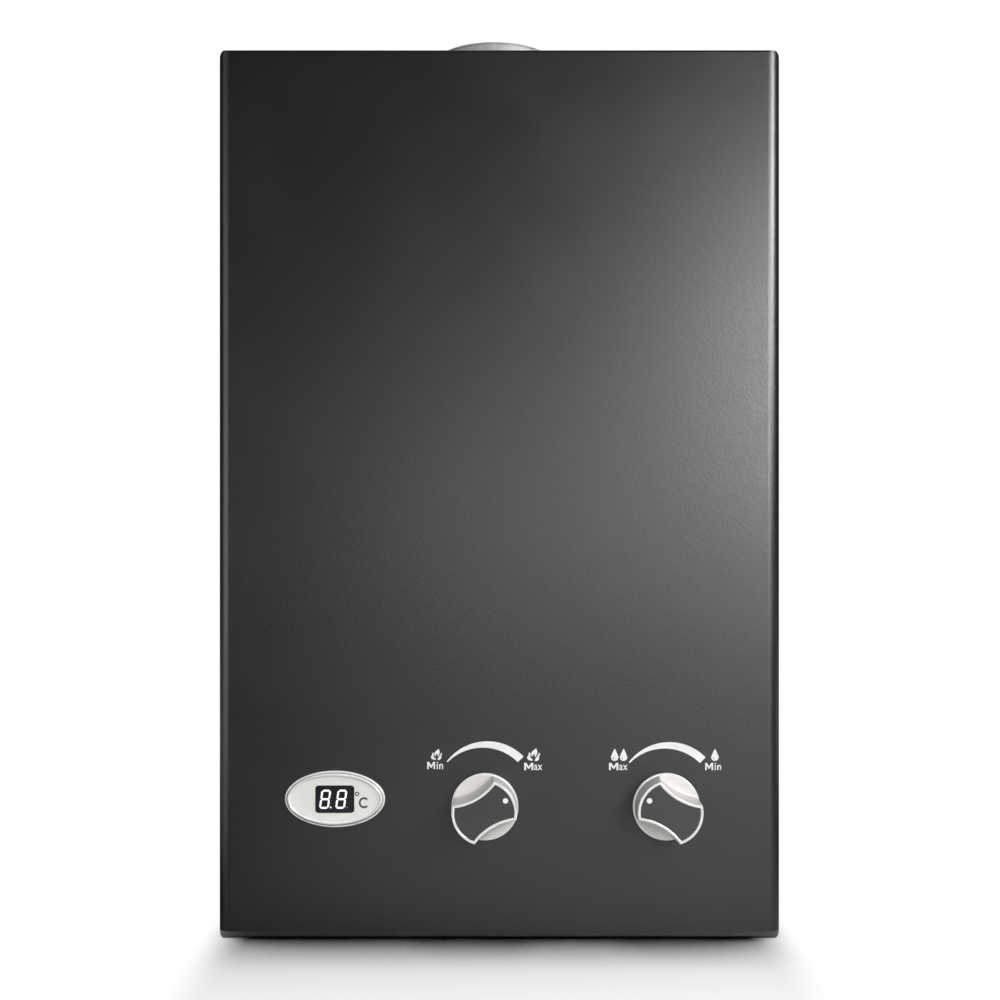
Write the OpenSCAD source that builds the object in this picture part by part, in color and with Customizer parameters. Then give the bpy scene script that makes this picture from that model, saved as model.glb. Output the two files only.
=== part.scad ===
// Gas water heater: a wall-hung instantaneous heater with a sheet-steel cover, two control knobs,
// an oval temperature display and a round flue collar on top.
// Frame: +X to the viewer's right, +Z up, the front faces -Y, millimetres.
// The origin lies under the middle of the whole outline, at the height of the lower rim.

/* [Cabinet] */
// Width of the cover over its sides
body_w = 323; // [313:1:360]
// Height of the cover
body_h = 509; // [491:1:580]
// Depth from the front face to the back face
body_d = 150; // [147:1:180]
// Thickness of the sheet steel
sheet_t = 0.8; // [0.6:0.1:1.2]
// Outer radius of the upright bends at the front
side_bend_r = 7.5; // [4:0.5:10]
// Corner radius seen from the front
corner_r = 4; // [3:0.5:8]
// Outer radius of the bends along the top and bottom edges
edge_bend_r = 1.5; // [1.4:0.1:3]
// Depth of the cover's returns at the top and bottom
return_d = 20; // [14:1:30]
// Height of the bottom shelf over the lower rim
shelf_z = 36; // [34:1:40]
// Clear gap between pieces that are put together
gap = 0.3; // [0.2:0.05:0.4]

/* [Flue collar] */
// Inside radius of the collar, which takes the flue pipe
flue_r = 38; // [30:0.5:38.5]
// Wall thickness of the collar
flue_t = 0.6; // [0.5:0.1:1]
// Height of the collar over the cover's top
flue_h = 22; // [15:1:60]
// Sideways offset of the collar from the middle
flue_x = -3.5; // [-12:0.5:12]

/* [Knobs] */
// Diameter of a knob at its base
knob_d = 38.2; // [34:0.2:44]
// Diameter across the tips of a knob's face
knob_face_d = 36.4; // [32:0.2:40]
// Height of a knob from its back to its face
knob_h = 23; // [19:0.5:28]
// Thickness of the round ledge at a knob's base
ledge_h = 3; // [2:0.5:5]
// Gap between a knob's back and the front face
knob_gap = 1; // [0.6:0.1:2]
// Half width of the grip at its waist
waist = 9.5; // [8.5:0.5:11]
// Radius of the hollow flanks of the grip
scallop_r = 32; // [26:1:40]
// How much further out the flanks lie at the ledge than at the face
flank_draft = 1.4; // [0.5:0.1:2]
// Width of the bright rim round the dark inlay
rim_w = 1.5; // [1:0.1:2.5]
// Sideways place of the gas knob
gas_x = -8.2; // [-14:0.2:0]
// Distance of the water knob from the right side
water_side = 66.3; // [63:0.1:72]
// Height of both knobs over the lower rim
knob_z = 76; // [72:1:84]
// Angle of each knob's pointer away from upright, in degrees
knob_rest = 60; // [40:1:75]

/* [Display] */
// Distance of the display's middle from the left side
display_side = 67.5; // [61:0.5:72]
// Height of the display's middle over the lower rim
display_z = 80; // [76:1:110]
// Width of the oval bezel
display_w = 57.4; // [54:0.2:64]
// Height of the oval bezel
display_h = 32.4; // [31:0.2:38]
// Width of the display window
window_w = 22.4; // [18:0.2:24]
// Height of the display window
window_h = 15.8; // [13:0.1:16]

/* [Connections] */
// Outer diameter of the threaded stubs, a half-inch pipe thread
stub_d = 20.95; // [18:0.05:22]
// Bore of the stubs
stub_bore = 14; // [10:0.5:15]
// Height of the stubs' lower ends over the lower rim
stub_z = 4; // [2:0.5:8]
// Length of thread on a stub
thread_l = 15; // [12:0.5:18]
// Distance between neighbouring stubs
stub_pitch = 75; // [70:1:78]
// Sideways place of the gas stub, the middle one
gas_stub_x = 12; // [8:0.5:14]

/* [Heat exchanger] */
// Clear width on each side of the combustion chamber
chamber_side = 61.5; // [57:0.5:67]
// Height of the chamber's lower edge over the lower rim
chamber_z = 222; // [218:1:230]
// Height of the chamber with its fin block
chamber_h = 170; // [165:1:180]
// Outer diameter of the copper tube
tube_d = 10; // [8:0.5:10]
// Number of fins
fin_count = 34; // [20:1:40]
// Number of burner bars
bar_count = 9; // [5:1:9]

/* [Hidden] */
$fn = 96;
eps = 0.01;
past = 1;

// whole outline and planes
knob_proud = knob_gap + knob_h;
overall_d = body_d + knob_proud;
front_y = knob_proud - overall_d / 2;
back_y = front_y + body_d;
top_z = body_h - sheet_t - gap;
inner_half = body_w / 2 - sheet_t;
water_x = body_w / 2 - water_side;
display_x = display_side - body_w / 2;
cold_x = gas_stub_x + stub_pitch;
hot_x = gas_stub_x - stub_pitch;

// running fit of shafts, rods and pins, and bolt clearance
run_fit = 0.05;
bolt_fit = 0.2;

// casing
lip_w = 9;
panel_half = inner_half - gap;
flange_d = 18;
field_h = 4;
field_side = 12;
field_z0 = 60;
field_z1 = body_h - 62;
field_y = back_y - field_h - sheet_t;
field_r = 12;
field_mid = (field_z0 + field_z1) / 2;
vent_r = 3;
vent_l = 26;
vent_n = 9;
vent_pitch = 24;
vent_z = field_z1 - 24;
lip_h = 12;
front_clear = 3;
display_rest = 5;
wall_y = back_y - sheet_t;
key_x = 90;
key_z = body_h - 40;
key_r = 6;
key_slot_r = 3.25;
key_rise = 14;
screw_r = 2;
screw_l = 6;
head_r = 3.6;
head_h = 1.8;
collar_screw_r = 1.5;
collar_screw_off = 9;
collar_head_r = 3;
collar_head_h = 1;
screw_dep = body_d - 9;
screw_zs = [62, body_h - 60];

// chamber and tubes
chamber_dep0 = 40;
chamber_dep1 = body_d - 26;
chamber_dep = (chamber_dep0 + chamber_dep1) / 2;
chamber_w = body_w - 2 * chamber_side;
chamber_d = chamber_dep1 - chamber_dep0;
chamber_top = chamber_z + chamber_h;
copper_t = 0.8;
tube_r = tube_d / 2;
tube_bore = tube_d - 1.6;
coil_bend = 12;
riser_bend = 9;
coil_off = tube_r + gap;
chamber_r = coil_bend - coil_off;
coil_x = chamber_w / 2 + coil_off;
coil_front = chamber_dep0 - coil_off;
coil_back = chamber_dep1 + coil_off;
coil_z1 = chamber_z + 40;
coil_z2 = coil_z1 + 36;
coil_reach = 10;
fin_h = 48;
fin_z = chamber_top - fin_h / 2 - 6;
fin_t = 0.5;
fin_margin = 10;
pass_count = 6;
pass_pitch = 13;
pass_end = chamber_w / 2 + 8;
pass_turn = chamber_w / 2 + 4 + pass_pitch / 2;
leg_dep = 70;
drop_x = -(pass_end + 16);
drop_z = shelf_z + 114;
stub_dep = chamber_dep - (pass_count - 1) / 2 * pass_pitch;
riser_x = coil_x;
hood_top = body_h - 26;
hood_w = 2 * (flue_r + 17);
hood_t = 0.7;
hood_sink = 8;
relief_h = 16;
flange_w = 14;
rim_r = 0.55;
bracket_t = 1.2;
bracket_h = 20;
bracket_foot = 18;
bracket_lap = 30;

// burner
burner_z0 = chamber_z - 62;
burner_t = 1;
bar_t = 9;
bar_pitch = (chamber_w - 32) / (bar_count - 1);
bar_top = chamber_z - 16;
rail_h = 3;
rail_w = 5;
rail_deps = [chamber_dep0 + 6, chamber_dep1 - 20];
jet_z = burner_z0 + 12;
jet_hole_r = 6;
manifold_s = 12;
manifold_dep = 20;
manifold_bore = 3.5;
manifold_foot = 4;
bracket_zs = [jet_z, coil_z2 + 14];
spark_xs = [-bar_pitch / 2, 1.5 * bar_pitch];
spark_z = chamber_z - 9;
spark_r = 3;
spark_dep = 24;
spark_plate = 1.2;
spark_edge = 8;

// valves
valve_s = 44;
valve_dep = 40;
valve_z0 = knob_z - valve_s / 2;
valve_z1 = knob_z + valve_s / 2;
link_dep = 70;
block_side = 21.8;
water_x0 = cold_x - block_side;
plate_x = water_x0 - 12;
plate_r = 29;
plate_t = 11;
rubber_t = 1.5;
rubber_r = 23.6;
dish_r = 22;
cover_x = plate_x - rubber_t / 2 - plate_t;
window_x = 15;
gas_x1 = cover_x - window_x;
gas_x0 = gas_x - 22;
gas_out_x = gas_x - 8;
rod_r = 2.5;
gland_l = 8;
poppet_r = 6.5;
poppet_t = 3;
seal_t = 1.5;
bore_r = 8;
bore_l = 0.6 * (gas_x1 - gas_x0);
port_l = 8;
stub_port_r = 5;
pipe_port_r = 4;
spring_r = 5;
spring_wire = 0.6;
spring_turns = 6;
lever_x = gas_x1 + 7.5;
lever_z = knob_z + 27;
lever_t = 1;
pivot_r = 1;
shaft_r = 4;
tang_r = 3;
tang_flat = 2;
tang_l = 14;
plug_r = 8;
plug_dep0 = valve_dep + 4.3;
plug_dep1 = valve_dep + 17.5;
hub_r = 6;
inlay_t = 1.2;
drain_x = cold_x + 29.3;
drain_r = 5;
drain_l = 11;
drain_grip_r = 8.5;
drain_grip_h = 16;
water_x1 = max(riser_x + 20, drain_x + 9);
solenoid_r = 12;
solenoid_l = 28;
valve_screw_r = 1.5;
valve_screw_off = 25.8;
nut_l = 14;
leg_z = burner_z0 - nut_l - 2;
lock_nut_h = 8;
lock_nut_w = 4;
hot_end_z = shelf_z + 24;
stub_neck_r = stub_d / 2 - 1;
nut_r = 10.5;
hex = 6;

// battery box, its lid and the control box
cell_d = 34.2;
cell_l = 61.5;
cell_room = 2;
battery_wall = 1.8;
battery_iw = 2 * cell_d + cell_room;
battery_id = cell_d + cell_room;
battery_w = battery_iw + 2 * battery_wall;
battery_d = battery_id + 2 * battery_wall;
battery_side = 45.5;
battery_x = battery_side - body_w / 2;
battery_dep = 85;
battery_top = shelf_z + cell_l + 7;
frame_h = 5.5;
frame_w = battery_w + 7;
frame_d = battery_d + 6;
lid_stop = 1.4;
lid_lip = 2.4;
lid_w = battery_w + 1;
lid_t = 2;
lid_z = shelf_z - 4.2;
control_w = 28;
control_h = 92;
control_side = 11.5;
control_x = control_side - body_w / 2;
control_z = 170;
control_dep = 85;

// display
bezel_n = 96;
bezel_h = 3;
bezel_step = 1.6;
bezel_lip = 3.2;
bezel_seat = 2.4;
plate_h = 1.6;
led_l = 8;
led_sink = 0.2;
seg_h = 0.15;
window_r = 1.9;
window_fit = 0.1;
digit_w = 4.5;
digit_h = 9.8;
digit_x = 4.6;
digit_off = 0.9;
point_r = 0.5;
seg_w = 1.1;
slant = tan(8);

// colours
paint = [0.13, 0.13, 0.14];
zinc = [0.7, 0.71, 0.73];
steel = [0.6, 0.6, 0.62];
copper = [0.78, 0.45, 0.3];
brass = [0.8, 0.68, 0.35];
alloy = [0.72, 0.73, 0.75];
bright = [0.85, 0.86, 0.88];
dark = [0.16, 0.16, 0.17];
pale = [0.85, 0.84, 0.82];
white = [0.95, 0.95, 0.95];
rubber = [0.1, 0.1, 0.1];
board = [0.1, 0.35, 0.2];
ceramic = [0.93, 0.92, 0.88];

// place behind the front face
function dep(u) = front_y + u;
function unit(v) = v / norm(v);
function turn(a, b, c) = acos(unit(b - a) * unit(c - b));
function bend_at(r, i) = is_list(r) ? r[i] : r;
function setback(p, i, r) = i == 0 || i == len(p) - 1
    ? 0
    : bend_at(r, i) * tan(turn(p[i - 1], p[i], p[i + 1]) / 2);
function stretched(p, l) = [for (i = [0:len(p) - 1])
    i == 0 ? p[0] - l * unit(p[1] - p[0])
    : i == len(p) - 1 ? p[i] + l * unit(p[i] - p[i - 1])
    : p[i]];
function ellipse(a, b) = [for (i = [0:bezel_n - 1])
    [a * cos(360 * i / bezel_n), b * sin(360 * i / bezel_n)]];
function pass_dep(i) = chamber_dep + (i - (pass_count - 1) / 2) * pass_pitch;

module rounded_square(size, r) {
    square([size[0] - 2 * r, size[1]], center = true);
    square([size[0], size[1] - 2 * r], center = true);
    for (sx = [-1, 1], sy = [-1, 1])
        translate([sx * (size[0] / 2 - r), sy * (size[1] / 2 - r)])
            circle(r);
}

module slot(length, r) {
    square([2 * r, length - 2 * r], center = true);
    for (s = [-1, 1])
        translate([0, s * (length / 2 - r)])
            circle(r);
}

// extrusions of an XZ outline along Y and of a YZ outline along X
module extrude_y(y0, y1) {
    translate([0, y1, 0])
        rotate([90, 0, 0])
            linear_extrude(height = y1 - y0)
                children();
}

module extrude_x(x0, x1) {
    translate([x0, 0, 0])
        rotate([90, 0, 90])
            linear_extrude(height = x1 - x0)
                children();
}

module rod_x(r, x0, x1, y, z) {
    translate([x0, y, z])
        rotate([0, 90, 0])
            cylinder(r = r, h = x1 - x0);
}

module rod_y(r, y0, y1, x, z) {
    translate([x, y0, z])
        rotate([-90, 0, 0])
            cylinder(r = r, h = y1 - y0);
}

module rod_z(r, z0, z1, x, y) {
    translate([x, y, z0])
        cylinder(r = r, h = z1 - z0);
}

module block(from, to) {
    translate(from)
        cube(to - from);
}

// local frame on the front face: x right, y up, z towards the viewer
module on_panel(x, z, u) {
    translate([x, dep(u), z])
        rotate([90, 0, 0])
            children();
}

module place(o, x, y) {
    z = cross(x, y);
    multmatrix([[x[0], y[0], z[0], o[0]], [x[1], y[1], z[1], o[1]], [x[2], y[2], z[2], o[2]],
        [0, 0, 0, 1]])
        children();
}

// a round bar bent along a list of points
module bent_bar(p, d, r) {
    last = len(p) - 1;
    for (i = [0:last - 1]) {
        way = unit(p[i + 1] - p[i]);
        from = p[i] + way * setback(p, i, r);
        to = p[i + 1] - way * setback(p, i + 1, r);
        side = unit(cross(abs(way[2]) < 0.9 ? [0, 0, 1] : [1, 0, 0], way));
        if (norm(to - from) > eps)
            place(from, side, cross(way, side))
                cylinder(d = d, h = norm(to - from));
    }
    if (last > 1)
        for (i = [1:last - 1]) {
            into = unit(p[i] - p[i - 1]);
            out = unit(p[i + 1] - p[i]);
            angle = turn(p[i - 1], p[i], p[i + 1]);
            inward = (out - into * cos(angle)) / sin(angle);
            centre = p[i] - into * setback(p, i, r) + inward * bend_at(r, i);
            place(centre, -inward, into)
                rotate_extrude(angle = angle)
                    translate([bend_at(r, i), 0])
                        circle(d = d);
        }
}

module tube(p, d, bore, r) {
    difference() {
        bent_bar(p, d, r);
        bent_bar(stretched(p, past), bore, r);
    }
}

// cover

module cover_plan(inset) {
    r = side_bend_r - inset;
    half = body_w / 2 - inset;
    rear = inset > 0 ? past : 0;
    translate([-half, front_y + side_bend_r])
        square([2 * half, body_d - side_bend_r + rear]);
    translate([-(body_w / 2 - side_bend_r), front_y + inset])
        square([body_w - 2 * side_bend_r, side_bend_r]);
    for (s = [-1, 1])
        translate([s * (body_w / 2 - side_bend_r), front_y + side_bend_r])
            circle(r);
}

module cover_side(inset) {
    r = edge_bend_r - inset;
    translate([front_y + edge_bend_r, inset])
        square([body_d + past, body_h - 2 * inset]);
    translate([front_y + inset, edge_bend_r])
        square([edge_bend_r, body_h - 2 * edge_bend_r]);
    for (z = [edge_bend_r, body_h - edge_bend_r])
        translate([front_y + edge_bend_r, z])
            circle(r);
}

module cover_form(inset) {
    intersection() {
        translate([0, 0, -past])
            linear_extrude(height = body_h + 2 * past)
                cover_plan(inset);
        extrude_y(front_y - past, back_y + 2 * past)
            translate([0, body_h / 2])
                rounded_square([body_w - 2 * inset, body_h - 2 * inset], corner_r - inset);
        extrude_x(-body_w, body_w)
            cover_side(inset);
    }
}

module front_cover() {
    shaft_hole = 2 * shaft_r;
    color(paint)
        difference() {
            cover_form(0);
            cover_form(sheet_t);
            for (z = [0, body_h])
                translate([0, dep(return_d) + body_d / 2, z])
                    cube([body_w - 2 * lip_w, body_d, 2 * lip_w], center = true);
            for (x = [gas_x, water_x])
                rod_y(shaft_hole, dep(-past), dep(sheet_t + past), x, knob_z);
            on_panel(display_x, display_z, sheet_t + past)
                linear_extrude(height = sheet_t + 2 * past)
                    polygon(ellipse(display_w / 2 - display_rest, display_h / 2 - display_rest));
            for (z = screw_zs)
                rod_x(screw_r + bolt_fit, -body_w, body_w, dep(screw_dep), z);
        }
}

module back_panel() {
    field_w = 2 * (inner_half - field_side);
    color(zinc)
        difference() {
            union() {
                extrude_y(wall_y, back_y)
                    translate([0, body_h / 2])
                        rounded_square([2 * panel_half, body_h - 2 * (sheet_t + gap)],
                            corner_r - sheet_t - gap);
                extrude_y(field_y, back_y)
                    translate([0, field_mid])
                        rounded_square([field_w, field_z1 - field_z0], field_r);
                for (s = [-1, 1])
                    translate([s * (panel_half - sheet_t / 2), back_y - flange_d / 2, body_h / 2])
                        cube([sheet_t, flange_d, body_h - 4 * corner_r], center = true);
            }
            extrude_y(back_y - field_h, back_y + past)
                translate([0, field_mid])
                    rounded_square([field_w - 2 * sheet_t, field_z1 - field_z0 - 2 * sheet_t],
                        field_r - sheet_t);
            for (s = [-1, 1])
                extrude_y(wall_y - past, back_y + past)
                    translate([s * key_x, key_z]) {
                        circle(key_r);
                        translate([-key_slot_r, 0])
                            square([2 * key_slot_r, key_rise]);
                        translate([0, key_rise])
                            circle(key_slot_r);
                    }
            for (i = [0:vent_n - 1])
                extrude_y(field_y - past, back_y + past)
                    translate([(i - (vent_n - 1) / 2) * vent_pitch, vent_z])
                        slot(vent_l, vent_r);
            for (z = screw_zs)
                rod_x(screw_r + bolt_fit, -body_w, body_w, dep(screw_dep), z);
        }
}

module collar_screw_places() {
    for (a = [45:90:315])
        translate([flue_x, dep(chamber_dep), 0])
            rotate([0, 0, a])
                translate([flue_r + collar_screw_off, 0, 0])
                    children();
}

module top_panel() {
    half = body_w / 2 - corner_r - gap;
    front = dep(sheet_t + front_clear);
    color(zinc)
        difference() {
            union() {
                block([-half, front, top_z - sheet_t], [half, wall_y, top_z]);
                block([-half, wall_y - sheet_t, top_z - lip_h], [half, wall_y, top_z]);
                block([-half, front, top_z - lip_h], [half, front + sheet_t, top_z]);
            }
            rod_z(flue_r + flue_t + gap, top_z - 2 * lip_h, body_h, flue_x, dep(chamber_dep));
            collar_screw_places()
                translate([0, 0, top_z - lip_h])
                    cylinder(r = collar_screw_r + bolt_fit, h = 2 * lip_h);
        }
}

module bottom_shelf() {
    half = panel_half - sheet_t - gap;
    front = dep(sheet_t + front_clear);
    slot_l = 20;
    slot_pitch = 18;
    color(zinc)
        difference() {
            union() {
                block([-half, front, shelf_z], [half, wall_y, shelf_z + sheet_t]);
                block([-half, wall_y - sheet_t, shelf_z - lip_h], [half, wall_y, shelf_z + sheet_t]);
                block([-half, front, shelf_z - lip_h], [half, front + sheet_t, shelf_z + sheet_t]);
            }
            for (i = [-1:1])
                rod_z(stub_d / 2 + gap, shelf_z - past, shelf_z + 2 * past,
                    gas_stub_x + i * stub_pitch, dep(stub_dep));
            rod_z(drain_r + 1, shelf_z - past, shelf_z + 2 * past, drain_x, dep(stub_dep));
            translate([battery_x, dep(battery_dep), shelf_z])
                cube([battery_w + 2 * gap, battery_d + 2 * gap, 4 * past], center = true);
            for (i = [0:7], u = [chamber_dep1 - slot_l - 2 * vent_r, chamber_dep1])
                translate([(i - 2) * slot_pitch, dep(u), shelf_z - past])
                    linear_extrude(height = 3 * past)
                        slot(slot_l, vent_r);
        }
}

module screw(r, head_r, head_h, length) {
    cylinder(r1 = head_r, r2 = head_r - head_h / 2, h = head_h);
    translate([0, 0, -length])
        cylinder(r = r, h = length + eps);
}

// side screws of the cover, and screws of the collar's flange
module casing_screws() {
    color(steel) {
        for (s = [-1, 1], z = screw_zs)
            translate([s * body_w / 2, dep(screw_dep), z])
                rotate([0, s * 90, 0])
                    screw(screw_r, head_r, head_h, screw_l);
        collar_screw_places()
            translate([0, 0, top_z])
                screw(collar_screw_r, collar_head_r, collar_head_h, screw_l);
    }
}

// flue

module flue_collar() {
    rim_z = body_h + flue_h - rim_r;
    low_z = hood_top - hood_sink;
    color(bright)
        translate([flue_x, dep(chamber_dep), 0])
            rotate_extrude() {
                translate([flue_r, low_z])
                    square([flue_t, rim_z - low_z]);
                translate([flue_r + flue_t, rim_z])
                    circle(rim_r);
            }
}

// flat ring round the collar, screwed under the top panel
module collar_flange() {
    seat_z = top_z - sheet_t;
    color(bright)
        translate([flue_x, dep(chamber_dep), seat_z - flue_t])
            difference() {
                cylinder(r = flue_r + flange_w, h = flue_t);
                translate([0, 0, -past])
                    cylinder(r = flue_r + flue_t + run_fit, h = flue_t + 2 * past);
                for (a = [45:90:315])
                    rotate([0, 0, a])
                        translate([flue_r + collar_screw_off, 0, -past])
                            cylinder(r = collar_screw_r + bolt_fit, h = flue_t + 2 * past);
            }
}

module hood_side(t) {
    polygon([[-chamber_w / 2 + t, chamber_top - (t > 0 ? past : 0)],
        [chamber_w / 2 - t, chamber_top - (t > 0 ? past : 0)],
        [flue_x + hood_w / 2 - t, hood_top - t],
        [flue_x - hood_w / 2 + t, hood_top - t]]);
}

module draught_hood() {
    relief_z = (chamber_top + hood_top) / 2;
    color(zinc)
        difference() {
            extrude_y(dep(chamber_dep0), dep(chamber_dep1))
                hood_side(0);
            extrude_y(dep(chamber_dep0 + hood_t), dep(chamber_dep1 - hood_t))
                hood_side(hood_t);
            rod_z(flue_r + flue_t + gap, hood_top - 2 * past, hood_top + past, flue_x, dep(chamber_dep));
            translate([0, dep(chamber_dep1), relief_z])
                cube([hood_w, 4 * hood_t, relief_h], center = true);
        }
}

// heat exchanger

module combustion_chamber() {
    color(copper)
        difference() {
            translate([0, dep(chamber_dep), chamber_z])
                linear_extrude(height = chamber_h)
                    difference() {
                        rounded_square([chamber_w, chamber_d], chamber_r);
                        rounded_square([chamber_w - 2 * copper_t, chamber_d - 2 * copper_t],
                            chamber_r - copper_t);
                    }
            for (i = [0:pass_count - 1])
                rod_x(tube_r + bolt_fit, -body_w, body_w, dep(pass_dep(i)), fin_z);
        }
}

module exchanger_fins() {
    run = chamber_w - 2 * fin_margin;
    half_d = chamber_d / 2 - copper_t - gap;
    color(copper)
        for (i = [0:fin_count - 1])
            let (x = run * (i / (fin_count - 1) - 0.5))
                extrude_x(x - fin_t / 2, x + fin_t / 2)
                    difference() {
                        translate([dep(chamber_dep) - half_d, fin_z - fin_h / 2])
                            square([2 * half_d, fin_h]);
                        for (k = [0:pass_count - 1])
                            translate([dep(pass_dep(k)), fin_z])
                                circle(tube_r + bolt_fit);
                    }
}

module exchanger_tubes() {
    bends = [for (k = [0:pass_count - 2], e = [0, 1])
        [(k % 2 == 0 ? 1 : -1) * pass_turn, dep(pass_dep(pass_count - 1 - k - e)), fin_z]];
    color(copper)
        tube(concat([[-pass_end, dep(pass_dep(pass_count - 1)), fin_z]], bends,
            [[-pass_end, dep(pass_dep(0)), fin_z]]), tube_d, tube_bore, pass_pitch / 2);
}

module chamber_coil() {
    out_x = -(pass_end + coil_reach);
    far = dep(pass_dep(pass_count - 1));
    small = pass_pitch / 2;
    path = [[coil_x, dep(leg_dep), leg_z], [coil_x, dep(leg_dep), coil_z1],
        [coil_x, dep(coil_back), coil_z1], [-coil_x, dep(coil_back), coil_z1],
        [-coil_x, dep(coil_front), coil_z1], [coil_x, dep(coil_front), coil_z1],
        [coil_x, dep(coil_front), coil_z2], [coil_x, dep(coil_back), coil_z2],
        [out_x, dep(coil_back), coil_z2], [out_x, dep(coil_back), fin_z],
        [out_x, far, fin_z], [-pass_end, far, fin_z]];
    bends = [for (i = [0:len(path) - 1]) i < 9 ? coil_bend : small];
    color(copper)
        tube(path, tube_d, tube_bore, bends);
}

module side_brackets() {
    from = chamber_w / 2;
    front = dep(chamber_dep1 - bracket_lap);
    color(zinc)
        for (s = [-1, 1], z = bracket_zs)
            scale([s, 1, 1]) {
                block([from, front, z], [from + bracket_t, field_y, z + bracket_h]);
                block([from, field_y - bracket_t, z], [from + bracket_foot, field_y, z + bracket_h]);
            }
}

// burner

module burner_frame() {
    half = chamber_w / 2;
    inner = half - burner_t;
    wall0 = dep(chamber_dep0 - past);
    wall1 = dep(chamber_dep0 + 3 * burner_t);
    color(steel)
        difference() {
            union() {
                difference() {
                    block([-half, dep(chamber_dep0), burner_z0], [half, dep(chamber_dep1), chamber_z]);
                    block([-inner, dep(chamber_dep0 + burner_t), burner_z0 - past],
                        [inner, dep(chamber_dep1 - burner_t), chamber_z + past]);
                }
                for (u = rail_deps)
                    block([-half, dep(u), burner_z0], [half, dep(u + rail_w), burner_z0 + rail_h]);
            }
            for (i = [0:bar_count - 1])
                rod_y(jet_hole_r, wall0, wall1, bar_x(i), jet_z);
            for (x = spark_xs)
                rod_y(spark_r + gap, wall0, wall1, x, spark_z);
        }
}

function bar_x(i) = (i - (bar_count - 1) / 2) * bar_pitch;

// a bar is a flat steel box: a mixing throat below, a neck, and a slotted head above
module burner_bars() {
    z0 = burner_z0 + rail_h;
    u0 = chamber_dep0 + 2 * burner_t;
    u1 = chamber_dep1 - 3 * burner_t;
    skin = 1.2;
    throat_r = 3.2;
    throat_rise = 17;
    throat_z = z0 + throat_rise;
    throat_l = 22;
    neck_l = 8;
    neck_z = throat_z + 9;
    head_z = neck_z + 8;
    heel = 12;
    slot_n = 9;
    slot_w = 1.4;
    slot_deep = 4;
    slot_end = 7;
    slot_run = u1 - u0 - 2 * slot_end;
    hollow_u = u0 + throat_l + neck_l + slot_deep;
    color(steel)
        for (x = [for (i = [0:bar_count - 1]) bar_x(i)])
            difference() {
                extrude_x(x - bar_t / 2, x + bar_t / 2)
                    polygon([[dep(u0), z0], [dep(u0), throat_z], [dep(u0 + throat_l), throat_z],
                        [dep(u0 + throat_l + neck_l), neck_z], [dep(u0), head_z], [dep(u0), bar_top],
                        [dep(u1), bar_top], [dep(u1), z0 + heel], [dep(u1 - heel), z0]]);
                rod_y(throat_r, dep(u0 - past), dep(hollow_u + slot_end), x, jet_z);
                block([x - bar_t / 2 + skin, dep(u0 + skin), head_z + 2 * skin],
                    [x + bar_t / 2 - skin, dep(u1 - skin), bar_top - 2 * skin]);
                block([x - bar_t / 2 + skin, dep(hollow_u), z0 + heel / 2],
                    [x + bar_t / 2 - skin, dep(u1 - heel - skin), head_z + 3 * skin]);
                for (k = [0:slot_n - 1])
                    translate([x, dep(u0 + slot_end + slot_run * k / (slot_n - 1)), bar_top])
                        cube([2 * bar_t, slot_w, 2 * slot_deep], center = true);
            }
}

module gas_manifold() {
    half = bar_x(bar_count - 1) + 2 * manifold_foot;
    z0 = jet_z - manifold_s / 2;
    z1 = jet_z + manifold_s / 2;
    mid = dep(manifold_dep + manifold_s / 2);
    color(alloy)
        difference() {
            union() {
                block([-half, dep(manifold_dep), z0], [half, dep(manifold_dep + manifold_s), z1]);
                for (s = [-1, 1])
                    scale([s, 1, 1])
                        block([half - manifold_foot, dep(manifold_dep), z0], [half, dep(chamber_dep0), z1]);
            }
            rod_x(manifold_bore, manifold_foot - half, half - manifold_foot, mid, jet_z);
            rod_z(manifold_bore, z0 - past, jet_z, gas_out_x, mid);
        }
}

module injectors() {
    rear = manifold_dep + manifold_s;
    base_r = 3.5;
    base_l = 3;
    nose_l = 3.5;
    nose_r = 1.4;
    jet_r = 0.6;
    color(brass)
        for (i = [0:bar_count - 1])
            difference() {
                union() {
                    rod_y(base_r, dep(rear), dep(rear + base_l), bar_x(i), jet_z);
                    translate([bar_x(i), dep(rear + base_l - eps), jet_z])
                        rotate([-90, 0, 0])
                            cylinder(r1 = 2 * nose_r, r2 = nose_r, h = nose_l);
                }
                rod_y(jet_r, dep(rear - past), dep(rear + base_l + nose_l + past), bar_x(i), jet_z);
            }
}

module electrodes() {
    shoulder = 1.4;
    shoulder_l = 5;
    nose = dep(chamber_dep0 + 8);
    tip = dep(chamber_dep0 + 22);
    seat = chamber_dep0 - spark_plate;
    color(ceramic)
        for (x = spark_xs) {
            rod_y(spark_r, dep(spark_dep), nose, x, spark_z);
            rod_y(spark_r + shoulder, dep(seat - shoulder_l), dep(seat), x, spark_z);
            rod_y(0.8, nose - eps, tip, x, spark_z);
        }
}

module electrode_bracket() {
    half_h = 2 * spark_r;
    color(zinc)
        difference() {
            block([spark_xs[0] - spark_edge, dep(chamber_dep0 - spark_plate), spark_z - half_h],
                [spark_xs[1] + spark_edge, dep(chamber_dep0), spark_z + half_h]);
            for (x = spark_xs)
                rod_y(spark_r + gap, dep(chamber_dep0 - 2 * spark_plate), dep(chamber_dep0 + past), x,
                    spark_z);
        }
}

// gas valve

module spindle_bore(x) {
    rod_y(plug_r + run_fit, dep(valve_dep), dep(plug_dep1 + gap), x, knob_z);
    rod_y(plug_r + 0.6, dep(valve_dep - past), dep(plug_dep0 - gap), x, knob_z);
}

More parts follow.
